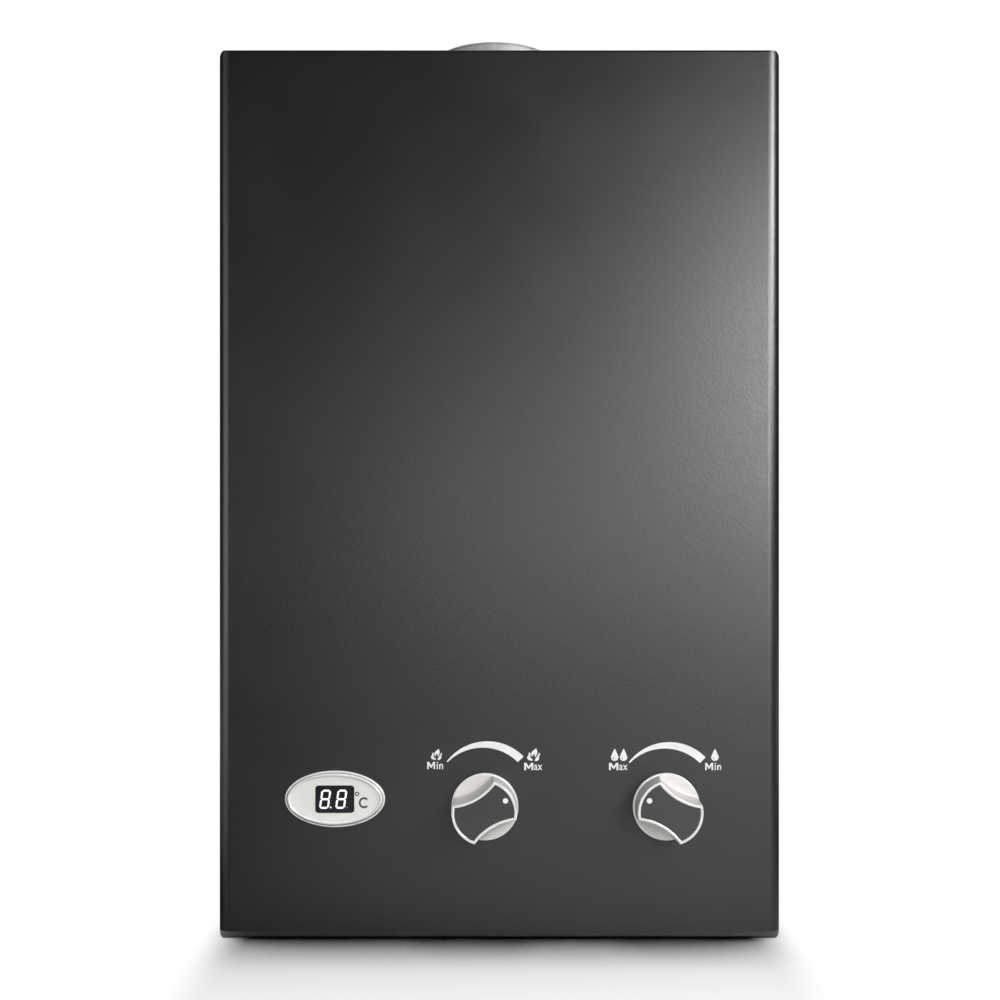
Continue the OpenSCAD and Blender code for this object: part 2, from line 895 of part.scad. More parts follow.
module gas_valve_body() {
    arm = 4;
    arm_h = 14;
    arm_off = 11.5;
    color(alloy)
        difference() {
            union() {
                block([gas_x0, dep(valve_dep), valve_z0], [gas_x1, dep(valve_dep + valve_s), valve_z1]);
                for (s = [-1, 1])
                    block([gas_x1 - past, dep(link_dep + s * arm_off - arm / 2), knob_z - arm_h / 2],
                        [cover_x, dep(link_dep + s * arm_off + arm / 2), knob_z + arm_h / 2]);
            }
            spindle_bore(gas_x);
            rod_x(rod_r + run_fit, gas_x1 - gland_l - past, gas_x1 + past, dep(link_dep), knob_z);
            rod_x(bore_r, gas_x1 - gland_l - bore_l, gas_x1 - gland_l, dep(link_dep), knob_z);
            rod_z(stub_port_r, valve_z0 - past, valve_z0 + port_l, gas_stub_x, dep(stub_dep));
            rod_z(pipe_port_r, valve_z1 - port_l, valve_z1 + past, gas_out_x, dep(stub_dep));
        }
}

module solenoid_valve() {
    rear = valve_dep + valve_s;
    plate = 34;
    plate_l = 3;
    color(steel) {
        translate([gas_x, dep(rear + plate_l / 2), knob_z])
            cube([plate, plate_l, plate], center = true);
        rod_y(solenoid_r, dep(rear + plate_l - eps), dep(rear + solenoid_l), gas_x, knob_z);
        rod_y(solenoid_r / 3, dep(rear + solenoid_l - eps), dep(rear + solenoid_l + plate_l), gas_x, knob_z);
    }
}

module stub(x, up) {
    color(brass)
        difference() {
            union() {
                rod_z(stub_d / 2, stub_z, stub_z + thread_l, x, dep(stub_dep));
                rod_z(stub_neck_r, stub_z + thread_l - eps, up, x, dep(stub_dep));
            }
            rod_z(stub_bore / 2, stub_z - past, up - port_l, x, dep(stub_dep));
            rod_z(tube_bore / 2, up - port_l - past, up + past, x, dep(stub_dep));
        }
}

// lock nuts that hold the stubs on the shelf
module lock_nuts() {
    color(brass)
        for (i = [-1:1])
            translate([gas_stub_x + i * stub_pitch, dep(stub_dep), shelf_z + sheet_t])
                difference() {
                    cylinder(r = stub_d / 2 + lock_nut_w, h = lock_nut_h, $fn = hex);
                    translate([0, 0, -past])
                        cylinder(r = stub_neck_r + bolt_fit, h = lock_nut_h + 2 * past);
                }
}

module gas_inlet_stub() {
    stub(gas_stub_x, valve_z0);
}

module cold_inlet_stub() {
    stub(cold_x, valve_z0);
}

module hot_outlet_stub() {
    stub(hot_x, hot_end_z);
}

module gas_riser() {
    mid_z = (valve_z1 + jet_z) / 2;
    front = dep(manifold_dep + manifold_s / 2);
    color(alloy)
        tube([[gas_out_x, dep(stub_dep), valve_z1], [gas_out_x, dep(stub_dep), mid_z],
            [gas_out_x, front, mid_z], [gas_out_x, front, jet_z - manifold_s / 2]],
            tube_d, tube_bore, riser_bend);
}

// water valve and linkage

module water_valve_body() {
    flange_x = plate_x + rubber_t / 2;
    flange_t = 8;
    neck_r = 14;
    dish_l = 5;
    color(brass)
        difference() {
            union() {
                rod_x(plate_r, flange_x, flange_x + flange_t, dep(link_dep), knob_z);
                rod_x(neck_r, flange_x + flange_t - eps, water_x0 + past, dep(link_dep), knob_z);
                block([water_x0, dep(valve_dep), valve_z0], [water_x1, dep(valve_dep + valve_s), valve_z1]);
            }
            rod_x(dish_r, flange_x - past, flange_x + dish_l, dep(link_dep), knob_z);
            valve_screw_places()
                cylinder(r = valve_screw_r + bolt_fit, h = body_w);
            spindle_bore(water_x);
            rod_z(stub_port_r, valve_z0 - past, valve_z0 + port_l, cold_x, dep(stub_dep));
            rod_z(pipe_port_r, valve_z1 - port_l, valve_z1 + past, riser_x, dep(leg_dep));
            rod_z(drain_r + run_fit, valve_z0 - past, valve_z0 + drain_l + past, drain_x, dep(stub_dep));
        }
}

module valve_screw_places() {
    for (a = [0:60:300])
        translate([cover_x, dep(link_dep), knob_z])
            rotate([a, 0, 0])
                translate([0, valve_screw_off, 0])
                    rotate([0, 90, 0])
                        children();
}

module diaphragm_cover() {
    wall = 3;
    color(brass)
        difference() {
            rod_x(plate_r, cover_x, plate_x + rubber_t / 2, dep(link_dep), knob_z);
            rod_x(dish_r, cover_x + wall, plate_x + past, dep(link_dep), knob_z);
            rod_x(rubber_r + gap, plate_x - rubber_t / 2, plate_x + past, dep(link_dep), knob_z);
            rod_x(rod_r + run_fit, cover_x - past, cover_x + wall + past, dep(link_dep), knob_z);
            valve_screw_places()
                translate([0, 0, -past])
                    cylinder(r = valve_screw_r + bolt_fit, h = body_w);
        }
}

module diaphragm() {
    color(rubber)
        difference() {
            rod_x(rubber_r, plate_x - rubber_t / 2, plate_x + rubber_t / 2, dep(link_dep), knob_z);
            rod_x(rod_r + gap, plate_x - rubber_t, plate_x + rubber_t, dep(link_dep), knob_z);
        }
}

module valve_screws() {
    cap_h = 2.2;
    cap_r = 2.7;
    color(steel)
        valve_screw_places() {
            translate([0, 0, -cap_h])
                cylinder(r = cap_r, h = cap_h);
            translate([0, 0, -eps])
                cylinder(r = valve_screw_r, h = plate_t + rubber_t + port_l - past);
        }
}

module spindle_glands() {
    nut_h = 7;
    color(brass)
        for (x = [gas_x, water_x])
            difference() {
                union() {
                    on_panel(x, knob_z, valve_dep)
                        cylinder(r = nut_r + gap, h = nut_h, $fn = hex);
                    rod_y(plug_r + 0.4, dep(valve_dep - past), dep(valve_dep + nut_h / 2), x, knob_z);
                }
                rod_y(shaft_r + run_fit, dep(valve_dep - nut_h - past), dep(valve_dep + nut_h), x, knob_z);
            }
}

module linkage_rod() {
    poppet_x = gas_x1 - gland_l - gap - seal_t;
    collar_x = lever_x + lever_t / 2 + gap;
    collar_r = 6;
    disc_r = 14;
    disc_t = 2;
    near = plate_x - rubber_t / 2;
    far = plate_x + rubber_t / 2;
    color(steel) {
        rod_x(rod_r, poppet_x - poppet_t + eps, far + disc_t + past, dep(link_dep), knob_z);
        rod_x(poppet_r, poppet_x - poppet_t, poppet_x, dep(link_dep), knob_z);
        rod_x(collar_r, collar_x, collar_x + poppet_t, dep(link_dep), knob_z);
        rod_x(disc_r, near - disc_t, near, dep(link_dep), knob_z);
        rod_x(collar_r, far, far + disc_t, dep(link_dep), knob_z);
    }
}

module poppet_seal() {
    x1 = gas_x1 - gland_l - gap;
    color(rubber)
        difference() {
            rod_x(poppet_r, x1 - seal_t, x1, dep(link_dep), knob_z);
            rod_x(rod_r + 0.1, x1 - seal_t - past, x1 + past, dep(link_dep), knob_z);
        }
}

// coil spring of one unbroken tube, eight rings of six sides to each turn
module linkage_spring() {
    x0 = gas_x1 - gland_l - bore_l + 0.2;
    x1 = gas_x1 - gland_l - gap - seal_t - poppet_t - 0.2;
    ring_n = 8;
    side_n = 6;
    rings = spring_turns * ring_n;
    lead = (x1 - x0 - 2 * spring_wire) / spring_turns;
    echo(spring_gap = lead - 2 * spring_wire);
    points = [for (i = [0:rings], k = [0:side_n - 1])
        let (a = 360 * i / ring_n, b = 360 * k / side_n, r = spring_r + spring_wire * cos(b))
            [x0 + spring_wire + lead * i / ring_n + spring_wire * sin(b), r * cos(a), r * sin(a)]];
    walls = [for (i = [0:rings - 1], k = [0:side_n - 1], half = [0, 1])
        let (n = (k + 1) % side_n, a = i * side_n, b = a + side_n)
            half == 0 ? [a + k, a + n, b + n] : [a + k, b + n, b + k]];
    ends = [[for (k = [side_n - 1:-1:0]) k], [for (k = [0:side_n - 1]) rings * side_n + k]];
    color(steel)
        translate([0, dep(link_dep), knob_z])
            polyhedron(points, concat(walls, ends));
}

module microswitch() {
    half = 4;
    tall = 11;
    ear_t = 1;
    ear_h = 5;
    ear_x = lever_x + 2.5 * pivot_r;
    hole_r = 1.2;
    x0 = gas_x1 - 4 * half;
    x1 = gas_x1 + half;
    color(dark)
        difference() {
            union() {
                block([x0, dep(link_dep - half), valve_z1], [x1, dep(link_dep + half), valve_z1 + tall]);
                for (s = [-1, 1])
                    translate([(x1 + ear_x) / 2 - eps, dep(link_dep + s * (half - ear_t / 2)), lever_z])
                        cube([ear_x - x1 + 2 * eps, ear_t, ear_h], center = true);
                rod_y(pivot_r, dep(link_dep - half), dep(link_dep + half), lever_x, lever_z);
                rod_x(pivot_r, x1 - eps, x1 + 1.8, dep(link_dep), lever_z - 4.2);
            }
            for (x = [x0 + half, x1 - half - past])
                rod_y(hole_r, dep(link_dep - 2 * half), dep(link_dep + 2 * half), x, valve_z1 + 7.5);
        }
}

module microswitch_lever() {
    half = 2.5;
    boss_r = 2 * pivot_r;
    color(bright)
        difference() {
            union() {
                rod_y(boss_r, dep(link_dep - half), dep(link_dep + half), lever_x, lever_z);
                block([lever_x - lever_t / 2, dep(link_dep - half), knob_z + rod_r + 0.7],
                    [lever_x + lever_t / 2, dep(link_dep + half), lever_z]);
            }
            rod_y(pivot_r + run_fit, dep(link_dep - 2 * half), dep(link_dep + 2 * half), lever_x, lever_z);
        }
}

module drain_plug() {
    grip_z = shelf_z - 4 - drain_grip_h;
    flute_r = 1.2;
    color(brass)
        difference() {
            union() {
                rod_z(drain_r, grip_z + past, valve_z0 + drain_l, drain_x, dep(stub_dep));
                rod_z(drain_grip_r, grip_z, grip_z + drain_grip_h, drain_x, dep(stub_dep));
            }
            for (a = [0:30:330])
                translate([drain_x, dep(stub_dep), grip_z - past])
                    rotate([0, 0, a])
                        translate([drain_grip_r + 0.5, 0, 0])
                            cylinder(r = flute_r, h = drain_grip_h + 2 * past);
        }
}

// pipes

module cold_pipe() {
    color(copper)
        tube([[riser_x, dep(leg_dep), valve_z1], [riser_x, dep(leg_dep), leg_z]], tube_d, tube_bore,
            coil_bend);
}

module hot_pipe() {
    y = dep(stub_dep);
    color(copper)
        tube([[-pass_end, y, fin_z], [drop_x, y, fin_z], [drop_x, y, drop_z], [hot_x, y, drop_z],
            [hot_x, y, hot_end_z]], tube_d, tube_bore, coil_bend);
}

module union_nuts() {
    color(brass)
        for (p = [[riser_x, leg_dep, valve_z1], [riser_x, leg_dep, leg_z - nut_l / 2],
            [gas_out_x, stub_dep, valve_z1], [hot_x, stub_dep, hot_end_z]])
            translate([p[0], dep(p[1]), p[2]])
                difference() {
                    cylinder(r = nut_r, h = nut_l, $fn = hex);
                    translate([0, 0, -past])
                        cylinder(r = tube_r + bolt_fit, h = nut_l + 2 * past);
                }
}

module overheat_switch() {
    y = dep(stub_dep);
    z = coil_z2 - 20;
    clip = tube_r + bolt_fit;
    clip_h = 10;
    can_r = 7;
    can_l = 8;
    color(dark)
        difference() {
            union() {
                rod_z(clip + 1, z, z + clip_h, drop_x, y);
                rod_y(can_r, y - clip - can_l, y - clip + 2, drop_x, z + clip_h / 2);
            }
            rod_z(clip, z - can_r, z + clip_h + can_r, drop_x, y);
        }
}

module temperature_probe() {
    y = dep(stub_dep);
    z = shelf_z + 70;
    clip = tube_r + bolt_fit;
    clip_h = 14;
    probe_r = 4;
    probe_l = 12;
    color(brass)
        difference() {
            union() {
                rod_z(clip + 1.5, z, z + clip_h, hot_x, y);
                rod_y(probe_r, y - clip - probe_l, y - clip + 2, hot_x, z + clip_h / 2);
            }
            rod_z(clip, z - past, z + clip_h + past, hot_x, y);
        }
}

// electrics

module control_box() {
    color(dark)
        difference() {
            block([control_x, dep(control_dep), control_z],
                [control_x + control_w, field_y, control_z + control_h]);
            for (i = [0:4])
                translate([control_x + control_w, dep(control_dep + 10 + 10 * i), control_z + 70])
                    cube([2, 3, 30], center = true);
        }
}

module battery_box() {
    mid = [battery_x, dep(battery_dep), 0];
    low = shelf_z - frame_h;
    color(dark)
        difference() {
            translate(mid)
                union() {
                    block([-battery_w / 2, -battery_d / 2, shelf_z - eps],
                        [battery_w / 2, battery_d / 2, battery_top]);
                    block([-frame_w / 2, -frame_d / 2, low], [frame_w / 2, frame_d / 2, shelf_z]);
                }
            translate(mid) {
                block([-battery_iw / 2, -battery_id / 2, low - past],
                    [battery_iw / 2, battery_id / 2, battery_top - battery_wall]);
                block([-lid_w / 2 - gap, -frame_d, lid_z - gap],
                    [lid_w / 2 + gap, frame_d / 2 - lid_stop, lid_z + lid_t + gap]);
                block([-lid_w / 2 + lid_lip, -frame_d, low - past],
                    [lid_w / 2 - lid_lip, frame_d / 2 - lid_stop, lid_z]);
            }
        }
}

module battery_contacts() {
    size = 14;
    thick = 0.5;
    color(bright)
        for (s = [-1, 1])
            translate([battery_x + s * cell_d / 2, dep(battery_dep), battery_top - battery_wall]) {
                translate([0, 0, -thick / 2])
                    cube([size, size, thick], center = true);
                translate([0, 0, -thick - 2 + eps])
                    cylinder(r1 = 3, r2 = 4.5, h = 2);
            }
}

module battery_lid() {
    front = -frame_d / 2 - 1;
    rear = frame_d / 2 - lid_stop - gap;
    ridge_x = 14;
    ridge_w = 1.6;
    ridge_h = 0.8;
    ridge_pitch = 4;
    color(dark)
        translate([battery_x, dep(battery_dep), lid_z]) {
            block([-lid_w / 2, front, 0], [lid_w / 2, rear, lid_t]);
            for (i = [0:3])
                translate([0, front + 3 + ridge_pitch * i, 0])
                    block([-ridge_x, 0, -ridge_h], [ridge_x, ridge_w, eps]);
        }
}

module wiring_leads() {
    lead_d = 3;
    bend = 6;
    box_x = control_x + control_w / 2;
    spark_run = dep(spark_dep - 6);
    spark_end = dep(spark_dep);
    sense_x = box_x - 8;
    sense_run = dep(spark_dep - 13);
    sense_z = spark_z - 16;
    plate_back = 9.6;
    panel_x = display_x - 18;
    panel_run = dep(30);
    panel_end = dep(114);
    panel_z = control_z - 30;
    cell_x = box_x + 4;
    cell_run = dep(battery_dep + 4);
    valve_run = dep(valve_dep + valve_s + 20);
    valve_rise = control_z - 44;
    switch_x = gas_x1 - 1;
    switch_run = dep(link_dep + 28);
    switch_rise = control_z - 24;
    routes = [
        [[box_x, dep(control_dep), spark_z], [box_x, spark_run, spark_z],
            [spark_xs[0], spark_run, spark_z], [spark_xs[0], spark_end, spark_z]],
        [[sense_x, dep(control_dep), sense_z], [sense_x, sense_run, sense_z],
            [spark_xs[1], sense_run, sense_z], [spark_xs[1], sense_run, spark_z],
            [spark_xs[1], spark_end, spark_z]],
        [[panel_x, dep(plate_back), display_z], [panel_x, panel_run, display_z],
            [panel_x, panel_run, panel_z], [box_x - 6, panel_run, panel_z],
            [box_x - 6, panel_end, panel_z], [box_x - 6, panel_end, control_z]],
        [[cell_x, cell_run, battery_top], [cell_x, cell_run, control_z]],
        [[gas_x, valve_run, knob_z + 12], [gas_x, valve_run, valve_rise],
            [box_x + 10, valve_run, valve_rise], [box_x + 10, valve_run, control_z]],
        [[switch_x, dep(link_dep), valve_z1 + 11], [switch_x, dep(link_dep), switch_rise],
            [switch_x, switch_run, switch_rise], [box_x - 1, switch_run, switch_rise],
            [box_x - 1, switch_run, control_z]]];
    color(rubber)
        for (route = routes)
            bent_bar(route, lead_d, bend);
}

// display

module display_bezel() {
    a = display_w / 2;
    b = display_h / 2;
    color(bright)
        on_panel(display_x, display_z, 0)
            difference() {
                union() {
                    linear_extrude(height = bezel_step)
                        polygon(ellipse(a, b));
                    linear_extrude(height = bezel_h)
                        polygon(ellipse(a - 1, b - 1));
                }
                translate([0, 0, -past])
                    linear_extrude(height = plate_h + past)
                        polygon(ellipse(a - bezel_seat, b - bezel_seat));
                linear_extrude(height = bezel_h + past)
                    polygon(ellipse(a - bezel_lip, b - bezel_lip));
            }
}

module display_plate() {
    a = display_w / 2 - bezel_seat - window_fit;
    b = display_h / 2 - bezel_seat - window_fit;
    peg_x = 17;
    peg_r = 2;
    color(pale)
        on_panel(display_x, display_z, 0)
            difference() {
                union() {
                    linear_extrude(height = plate_h)
                        polygon(ellipse(a, b));
                    for (s = [-1, 1])
                        translate([s * peg_x, 0, -led_l])
                            cylinder(r = peg_r, h = led_l + eps);
                }
                translate([0, 0, -past])
                    linear_extrude(height = plate_h + 2 * past)
                        rounded_square([window_w, window_h], window_r);
            }
}

module led_module() {
    front = plate_h - led_sink;
    color(dark)
        on_panel(display_x, display_z, led_l)
            linear_extrude(height = led_l + front)
                rounded_square([window_w - 2 * window_fit, window_h - 2 * window_fit], window_r - window_fit);
}

module segment(from, to) {
    way = unit(to - from);
    side = [-way[1], way[0]] * seg_w / 2;
    tip = way * seg_w / 2;
    points = [from, from + tip + side, to - tip + side, to, to - tip - side, from + tip - side];
    polygon([for (p = points) [p[0] + slant * p[1], p[1]]]);
}

module led_segments() {
    w = digit_w / 2;
    h = digit_h / 2;
    nodes = [[-w, h], [w, h], [w, 0], [w, -h], [-w, -h], [-w, 0]];
    pairs = [[0, 1], [1, 2], [2, 3], [3, 4], [4, 5], [5, 0], [5, 2]];
    clear = 0.12;
    color(white)
        on_panel(display_x, display_z, led_sink - plate_h)
            linear_extrude(height = seg_h)
                for (s = [-1, 1])
                    translate([s * digit_x - digit_off, 0]) {
                        for (p = pairs)
                            let (a = nodes[p[0]], b = nodes[p[1]], way = unit(b - a))
                                segment(a + clear * way, b - clear * way);
                        translate([w + 0.9, -h + 0.2])
                            circle(point_r);
                    }
}

module display_board() {
    color(board)
        on_panel(display_x, display_z, 9.6)
            linear_extrude(height = 1.6)
                square([42, 20], center = true);
}

// knobs and spindles

module bow_tie(inset) {
    difference() {
        circle(knob_face_d / 2 - inset);
        for (s = [-1, 1])
            translate([s * (waist + scallop_r), 0])
                circle(scallop_r + inset);
    }
}

module knob_at(x, rest) {
    on_panel(x, knob_z, -knob_gap)
        rotate([0, 0, rest])
            children();
}

module knob() {
    grip_h = knob_h - ledge_h;
    slope = flank_draft / grip_h;
    color(bright)
        difference() {
            union() {
                cylinder(d = knob_d, h = ledge_h);
                translate([0, 0, ledge_h - eps])
                    cylinder(d1 = knob_d, d2 = knob_face_d, h = grip_h + eps);
            }
            for (s = [-1, 1])
                translate([s * (waist + scallop_r), 0, ledge_h])
                    cylinder(r1 = scallop_r - flank_draft, r2 = scallop_r + slope * past,
                        h = grip_h + past);
            translate([0, 0, knob_h - inlay_t])
                linear_extrude(height = inlay_t + past)
                    bow_tie(rim_w);
            difference() {
                translate([0, 0, -past])
                    cylinder(r = knob_d / 2 - 2.5, h = past + 1.5);
                translate([0, 0, -2 * past])
                    cylinder(r = hub_r, h = 4 * past);
            }
            translate([0, 0, -past])
                linear_extrude(height = tang_l + past)
                    tang(run_fit);
        }
}

module tang(fit) {
    intersection() {
        circle(tang_r + fit);
        translate([-tang_r - past, -tang_r - past])
            square([tang_r + past + tang_flat + fit, 2 * (tang_r + past)]);
    }
}

module inlay() {
    color(dark)
        translate([0, 0, knob_h - inlay_t])
            linear_extrude(height = inlay_t - 0.3)
                bow_tie(rim_w + 0.1);
}

module pointer() {
    color(white)
        translate([0, 13.6, knob_h - 0.3])
            cylinder(r = 1.5, h = 0.3);
}

module spindle(x, rest) {
    color(steel) {
        knob_at(x, rest)
            translate([0, 0, -gap - past])
                linear_extrude(height = tang_l + past)
                    tang(0);
        rod_y(shaft_r, dep(-knob_gap + gap), dep(plug_dep0 + past), x, knob_z);
        difference() {
            rod_y(plug_r, dep(plug_dep0), dep(plug_dep1), x, knob_z);
            translate([x, dep(plug_dep0 + 8), knob_z])
                cube([5, 7, 3 * plug_r], center = true);
        }
    }
}

module gas_knob() {
    knob_at(gas_x, -knob_rest)
        knob();
}

module gas_knob_inlay() {
    knob_at(gas_x, -knob_rest)
        inlay();
}

module gas_knob_pointer() {
    knob_at(gas_x, -knob_rest)
        pointer();
}

module gas_spindle() {
    spindle(gas_x, -knob_rest);
}

module water_knob() {
    knob_at(water_x, knob_rest)
        knob();
}

module water_knob_inlay() {
    knob_at(water_x, knob_rest)
        inlay();
}

module water_knob_pointer() {
    knob_at(water_x, knob_rest)
        pointer();
}

module flow_spindle() {
    spindle(water_x, knob_rest);
}

front_cover();
back_panel();
top_panel();
bottom_shelf();
casing_screws();
flue_collar();
collar_flange();
draught_hood();
combustion_chamber();
exchanger_fins();
exchanger_tubes();
chamber_coil();
side_brackets();
burner_frame();
burner_bars();
gas_manifold();
injectors();
electrodes();
electrode_bracket();
gas_valve_body();
solenoid_valve();
gas_inlet_stub();
gas_riser();
water_valve_body();
cold_inlet_stub();
diaphragm_cover();
diaphragm();
valve_screws();
spindle_glands();
microswitch();
cold_pipe();
hot_pipe();
hot_outlet_stub();
lock_nuts();
union_nuts();
overheat_switch();
temperature_probe();
control_box();
battery_box();
battery_contacts();
wiring_leads();
display_bezel();
display_plate();
led_module();
led_segments();
display_board();
gas_knob();
gas_knob_inlay();
gas_knob_pointer();
gas_spindle();
water_knob();
water_knob_inlay();
water_knob_pointer();
flow_spindle();
linkage_rod();
poppet_seal();
linkage_spring();
microswitch_lever();
battery_lid();
drain_plug();
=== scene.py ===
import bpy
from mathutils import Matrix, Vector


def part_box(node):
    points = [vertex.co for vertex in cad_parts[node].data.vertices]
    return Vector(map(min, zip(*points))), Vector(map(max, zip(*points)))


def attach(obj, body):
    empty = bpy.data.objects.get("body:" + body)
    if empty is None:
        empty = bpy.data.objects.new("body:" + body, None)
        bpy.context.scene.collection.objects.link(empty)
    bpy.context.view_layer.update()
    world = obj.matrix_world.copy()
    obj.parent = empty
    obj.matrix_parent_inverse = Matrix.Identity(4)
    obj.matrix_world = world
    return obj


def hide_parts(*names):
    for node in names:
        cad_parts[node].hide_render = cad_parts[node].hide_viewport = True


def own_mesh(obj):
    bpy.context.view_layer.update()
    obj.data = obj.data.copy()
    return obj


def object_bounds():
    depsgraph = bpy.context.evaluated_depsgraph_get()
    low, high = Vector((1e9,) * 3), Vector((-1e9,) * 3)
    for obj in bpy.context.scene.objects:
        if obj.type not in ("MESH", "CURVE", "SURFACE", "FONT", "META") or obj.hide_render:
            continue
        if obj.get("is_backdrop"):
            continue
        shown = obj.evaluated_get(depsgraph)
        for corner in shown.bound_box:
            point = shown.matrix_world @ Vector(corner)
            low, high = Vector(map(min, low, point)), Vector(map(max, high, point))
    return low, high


bl_info = {
    "name": "Gas water heater",
    "version": (1, 0, 0),
    "blender": (4, 5, 0),
    "location": "View3D > Sidebar > Heater",
    "description": "Dresses the solids of a wall-hung gas water heater and sets its stage",
    "category": "Object",
}

import math

import bmesh
import bpy
from bmesh.types import BMEdge, BMFace, BMVert
from bpy.props import FloatProperty, FloatVectorProperty, IntProperty, PointerProperty
from mathutils import Matrix, Vector

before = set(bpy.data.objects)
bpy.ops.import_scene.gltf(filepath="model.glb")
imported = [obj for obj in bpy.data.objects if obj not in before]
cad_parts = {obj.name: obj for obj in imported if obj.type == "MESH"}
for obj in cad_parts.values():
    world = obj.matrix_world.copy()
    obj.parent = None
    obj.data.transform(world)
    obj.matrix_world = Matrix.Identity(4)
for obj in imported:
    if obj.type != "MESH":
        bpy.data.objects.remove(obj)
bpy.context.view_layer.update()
FRONT_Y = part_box("front_cover")[0].y
FACE_MIDDLE = (0.05, FRONT_Y, 0.3)
MM = 0.001
WELD = 1e-5
POINT_WIDTH, POINT_HEIGHT = 1.1 * MM, 1.4 * MM
UNLIT_COLOUR = (0.09, 0.09, 0.095, 1.0)

NODE_FINISHES = {
    "Powder coat": ("front_cover",),
    "Galvanised sheet": ("back_panel", "top_panel", "bottom_shelf", "draught_hood", "side_brackets",
        "burner_frame", "electrode_bracket"),
    "Collar steel": ("flue_collar", "collar_flange"),
    "Turned steel": ("casing_screws", "valve_screws", "gas_spindle", "flow_spindle", "linkage_rod",
        "solenoid_valve", "burner_bars"),
    "Copper": ("combustion_chamber", "exchanger_fins", "exchanger_tubes", "chamber_coil", "cold_pipe",
        "hot_pipe", "gas_riser"),
    "Brass": ("injectors", "gas_inlet_stub", "cold_inlet_stub", "hot_outlet_stub", "lock_nuts",
        "union_nuts", "spindle_glands", "water_valve_body", "diaphragm_cover", "temperature_probe",
        "drain_plug"),
    "Cast alloy": ("gas_manifold", "gas_valve_body"),
    "Satin plate": ("gas_knob", "water_knob"),
    "Polished plate": ("display_bezel",),
    "Spring strip": ("battery_contacts", "microswitch_lever", "linkage_spring"),
    "Dark plastic": ("control_box", "battery_box", "battery_lid", "microswitch", "overheat_switch"),
    "Knob inlay": ("gas_knob_inlay", "water_knob_inlay"),
    "Pale plastic": ("display_plate",),
    "Display black": ("led_module",),
    "Lit segment": ("led_segments",),
    "Knob dot": ("gas_knob_pointer", "water_knob_pointer"),
    "Black rubber": ("diaphragm", "poppet_seal", "wiring_leads"),
    "Circuit board": ("display_board",),
    "Ceramic": ("electrodes",),
}


class HeaterFinishSettings(bpy.types.PropertyGroup):
    cabinet: FloatVectorProperty(
        name="Cabinet", description="Colour of the cover's powder coat",
        subtype="COLOR", default=(0.003, 0.0031, 0.0033), min=0.0, max=1.0)
    plate: FloatVectorProperty(
        name="Plate", description="Colour of the knobs' satin plating",
        subtype="COLOR", default=(0.68, 0.665, 0.64), min=0.0, max=1.0)
    inlay: FloatVectorProperty(
        name="Inlay", description="Colour of the inlays in the knobs",
        subtype="COLOR", default=(0.022, 0.021, 0.02), min=0.0, max=1.0)
    face_plate: FloatVectorProperty(
        name="Display plate", description="Colour of the plate round the display's window",
        subtype="COLOR", default=(0.78, 0.765, 0.73), min=0.0, max=1.0)
    marks: FloatVectorProperty(
        name="Marks", description="Colour of the printed scales and words",
        subtype="COLOR", default=(0.84, 0.84, 0.83), min=0.0, max=1.0)


class HeaterKnobSettings(bpy.types.PropertyGroup):
    base: FloatProperty(
        name="Base", description="Diameter of a knob at its foot",
        unit="LENGTH", default=0.0382, precision=5)
    face: FloatProperty(
        name="Face", description="Diameter over the ends of the grip's face",
        unit="LENGTH", default=0.0364, precision=5)
    height: FloatProperty(
        name="Height", description="Height of a knob", unit="LENGTH", default=0.023, precision=5)
    ledge: FloatProperty(
        name="Ledge", description="Height of the round foot", unit="LENGTH", default=0.003, precision=5)
    gap: FloatProperty(
        name="Gap", description="Gap between a knob and the cover",
        unit="LENGTH", default=0.001, precision=5)
    waist: FloatProperty(
        name="Waist", description="Half of the grip's least width",
        unit="LENGTH", default=0.0095, precision=5)
    scallop: FloatProperty(
        name="Scallop", description="Radius of the hollow flanks", unit="LENGTH", default=0.032, precision=5)
    draft: FloatProperty(
        name="Draft", description="How much wider the grip is at its foot",
        unit="LENGTH", default=0.0014, precision=5)
    rim: FloatProperty(
        name="Rim", description="Width of the bright rim round the inlay",
        unit="LENGTH", default=0.0015, precision=5)
    recess: FloatProperty(
        name="Recess", description="Depth of the inlay's recess", unit="LENGTH", default=0.0012, precision=5)
    edge: FloatProperty(
        name="Edge", description="Rounding of the sharp edges", unit="LENGTH", default=0.0003, precision=5)
    # The band is a polished strip, lighter than the satin plate; it also stands in for the highlight along the
    # foot's edge.
    band: FloatProperty(
        name="Band", description="Width of the bright edge of the foot",
        unit="LENGTH", default=0.0009, precision=5)
    steps: IntProperty(
        name="Steps", description="Edges along each arc of the outline", default=20, min=8, max=48)


class HeaterDisplaySettings(bpy.types.PropertyGroup):
    width: FloatProperty(
        name="Width", description="Width of the oval bezel", unit="LENGTH", default=0.0574, precision=5)
    height: FloatProperty(
        name="Height", description="Height of the oval bezel", unit="LENGTH", default=0.0324, precision=5)
    seat: FloatProperty(
        name="Seat", description="Distance from the bezel's edge to the plate's seat",
        unit="LENGTH", default=0.0024, precision=5)
    plate: FloatProperty(
        name="Plate", description="Height of the plate's face over the cover",
        unit="LENGTH", default=0.0016, precision=5)
    segments: IntProperty(
        name="Segments", description="Edges round the oval", default=112, min=32, max=256)


class HeaterPrintSettings(bpy.types.PropertyGroup):
    film: FloatProperty(
        name="Film", description="Thickness of the printed marks",
        unit="LENGTH", default=0.00006, precision=6)
    letter: FloatProperty(
        name="Letter", description="Height of the capital letters",
        unit="LENGTH", default=0.00415, precision=5)


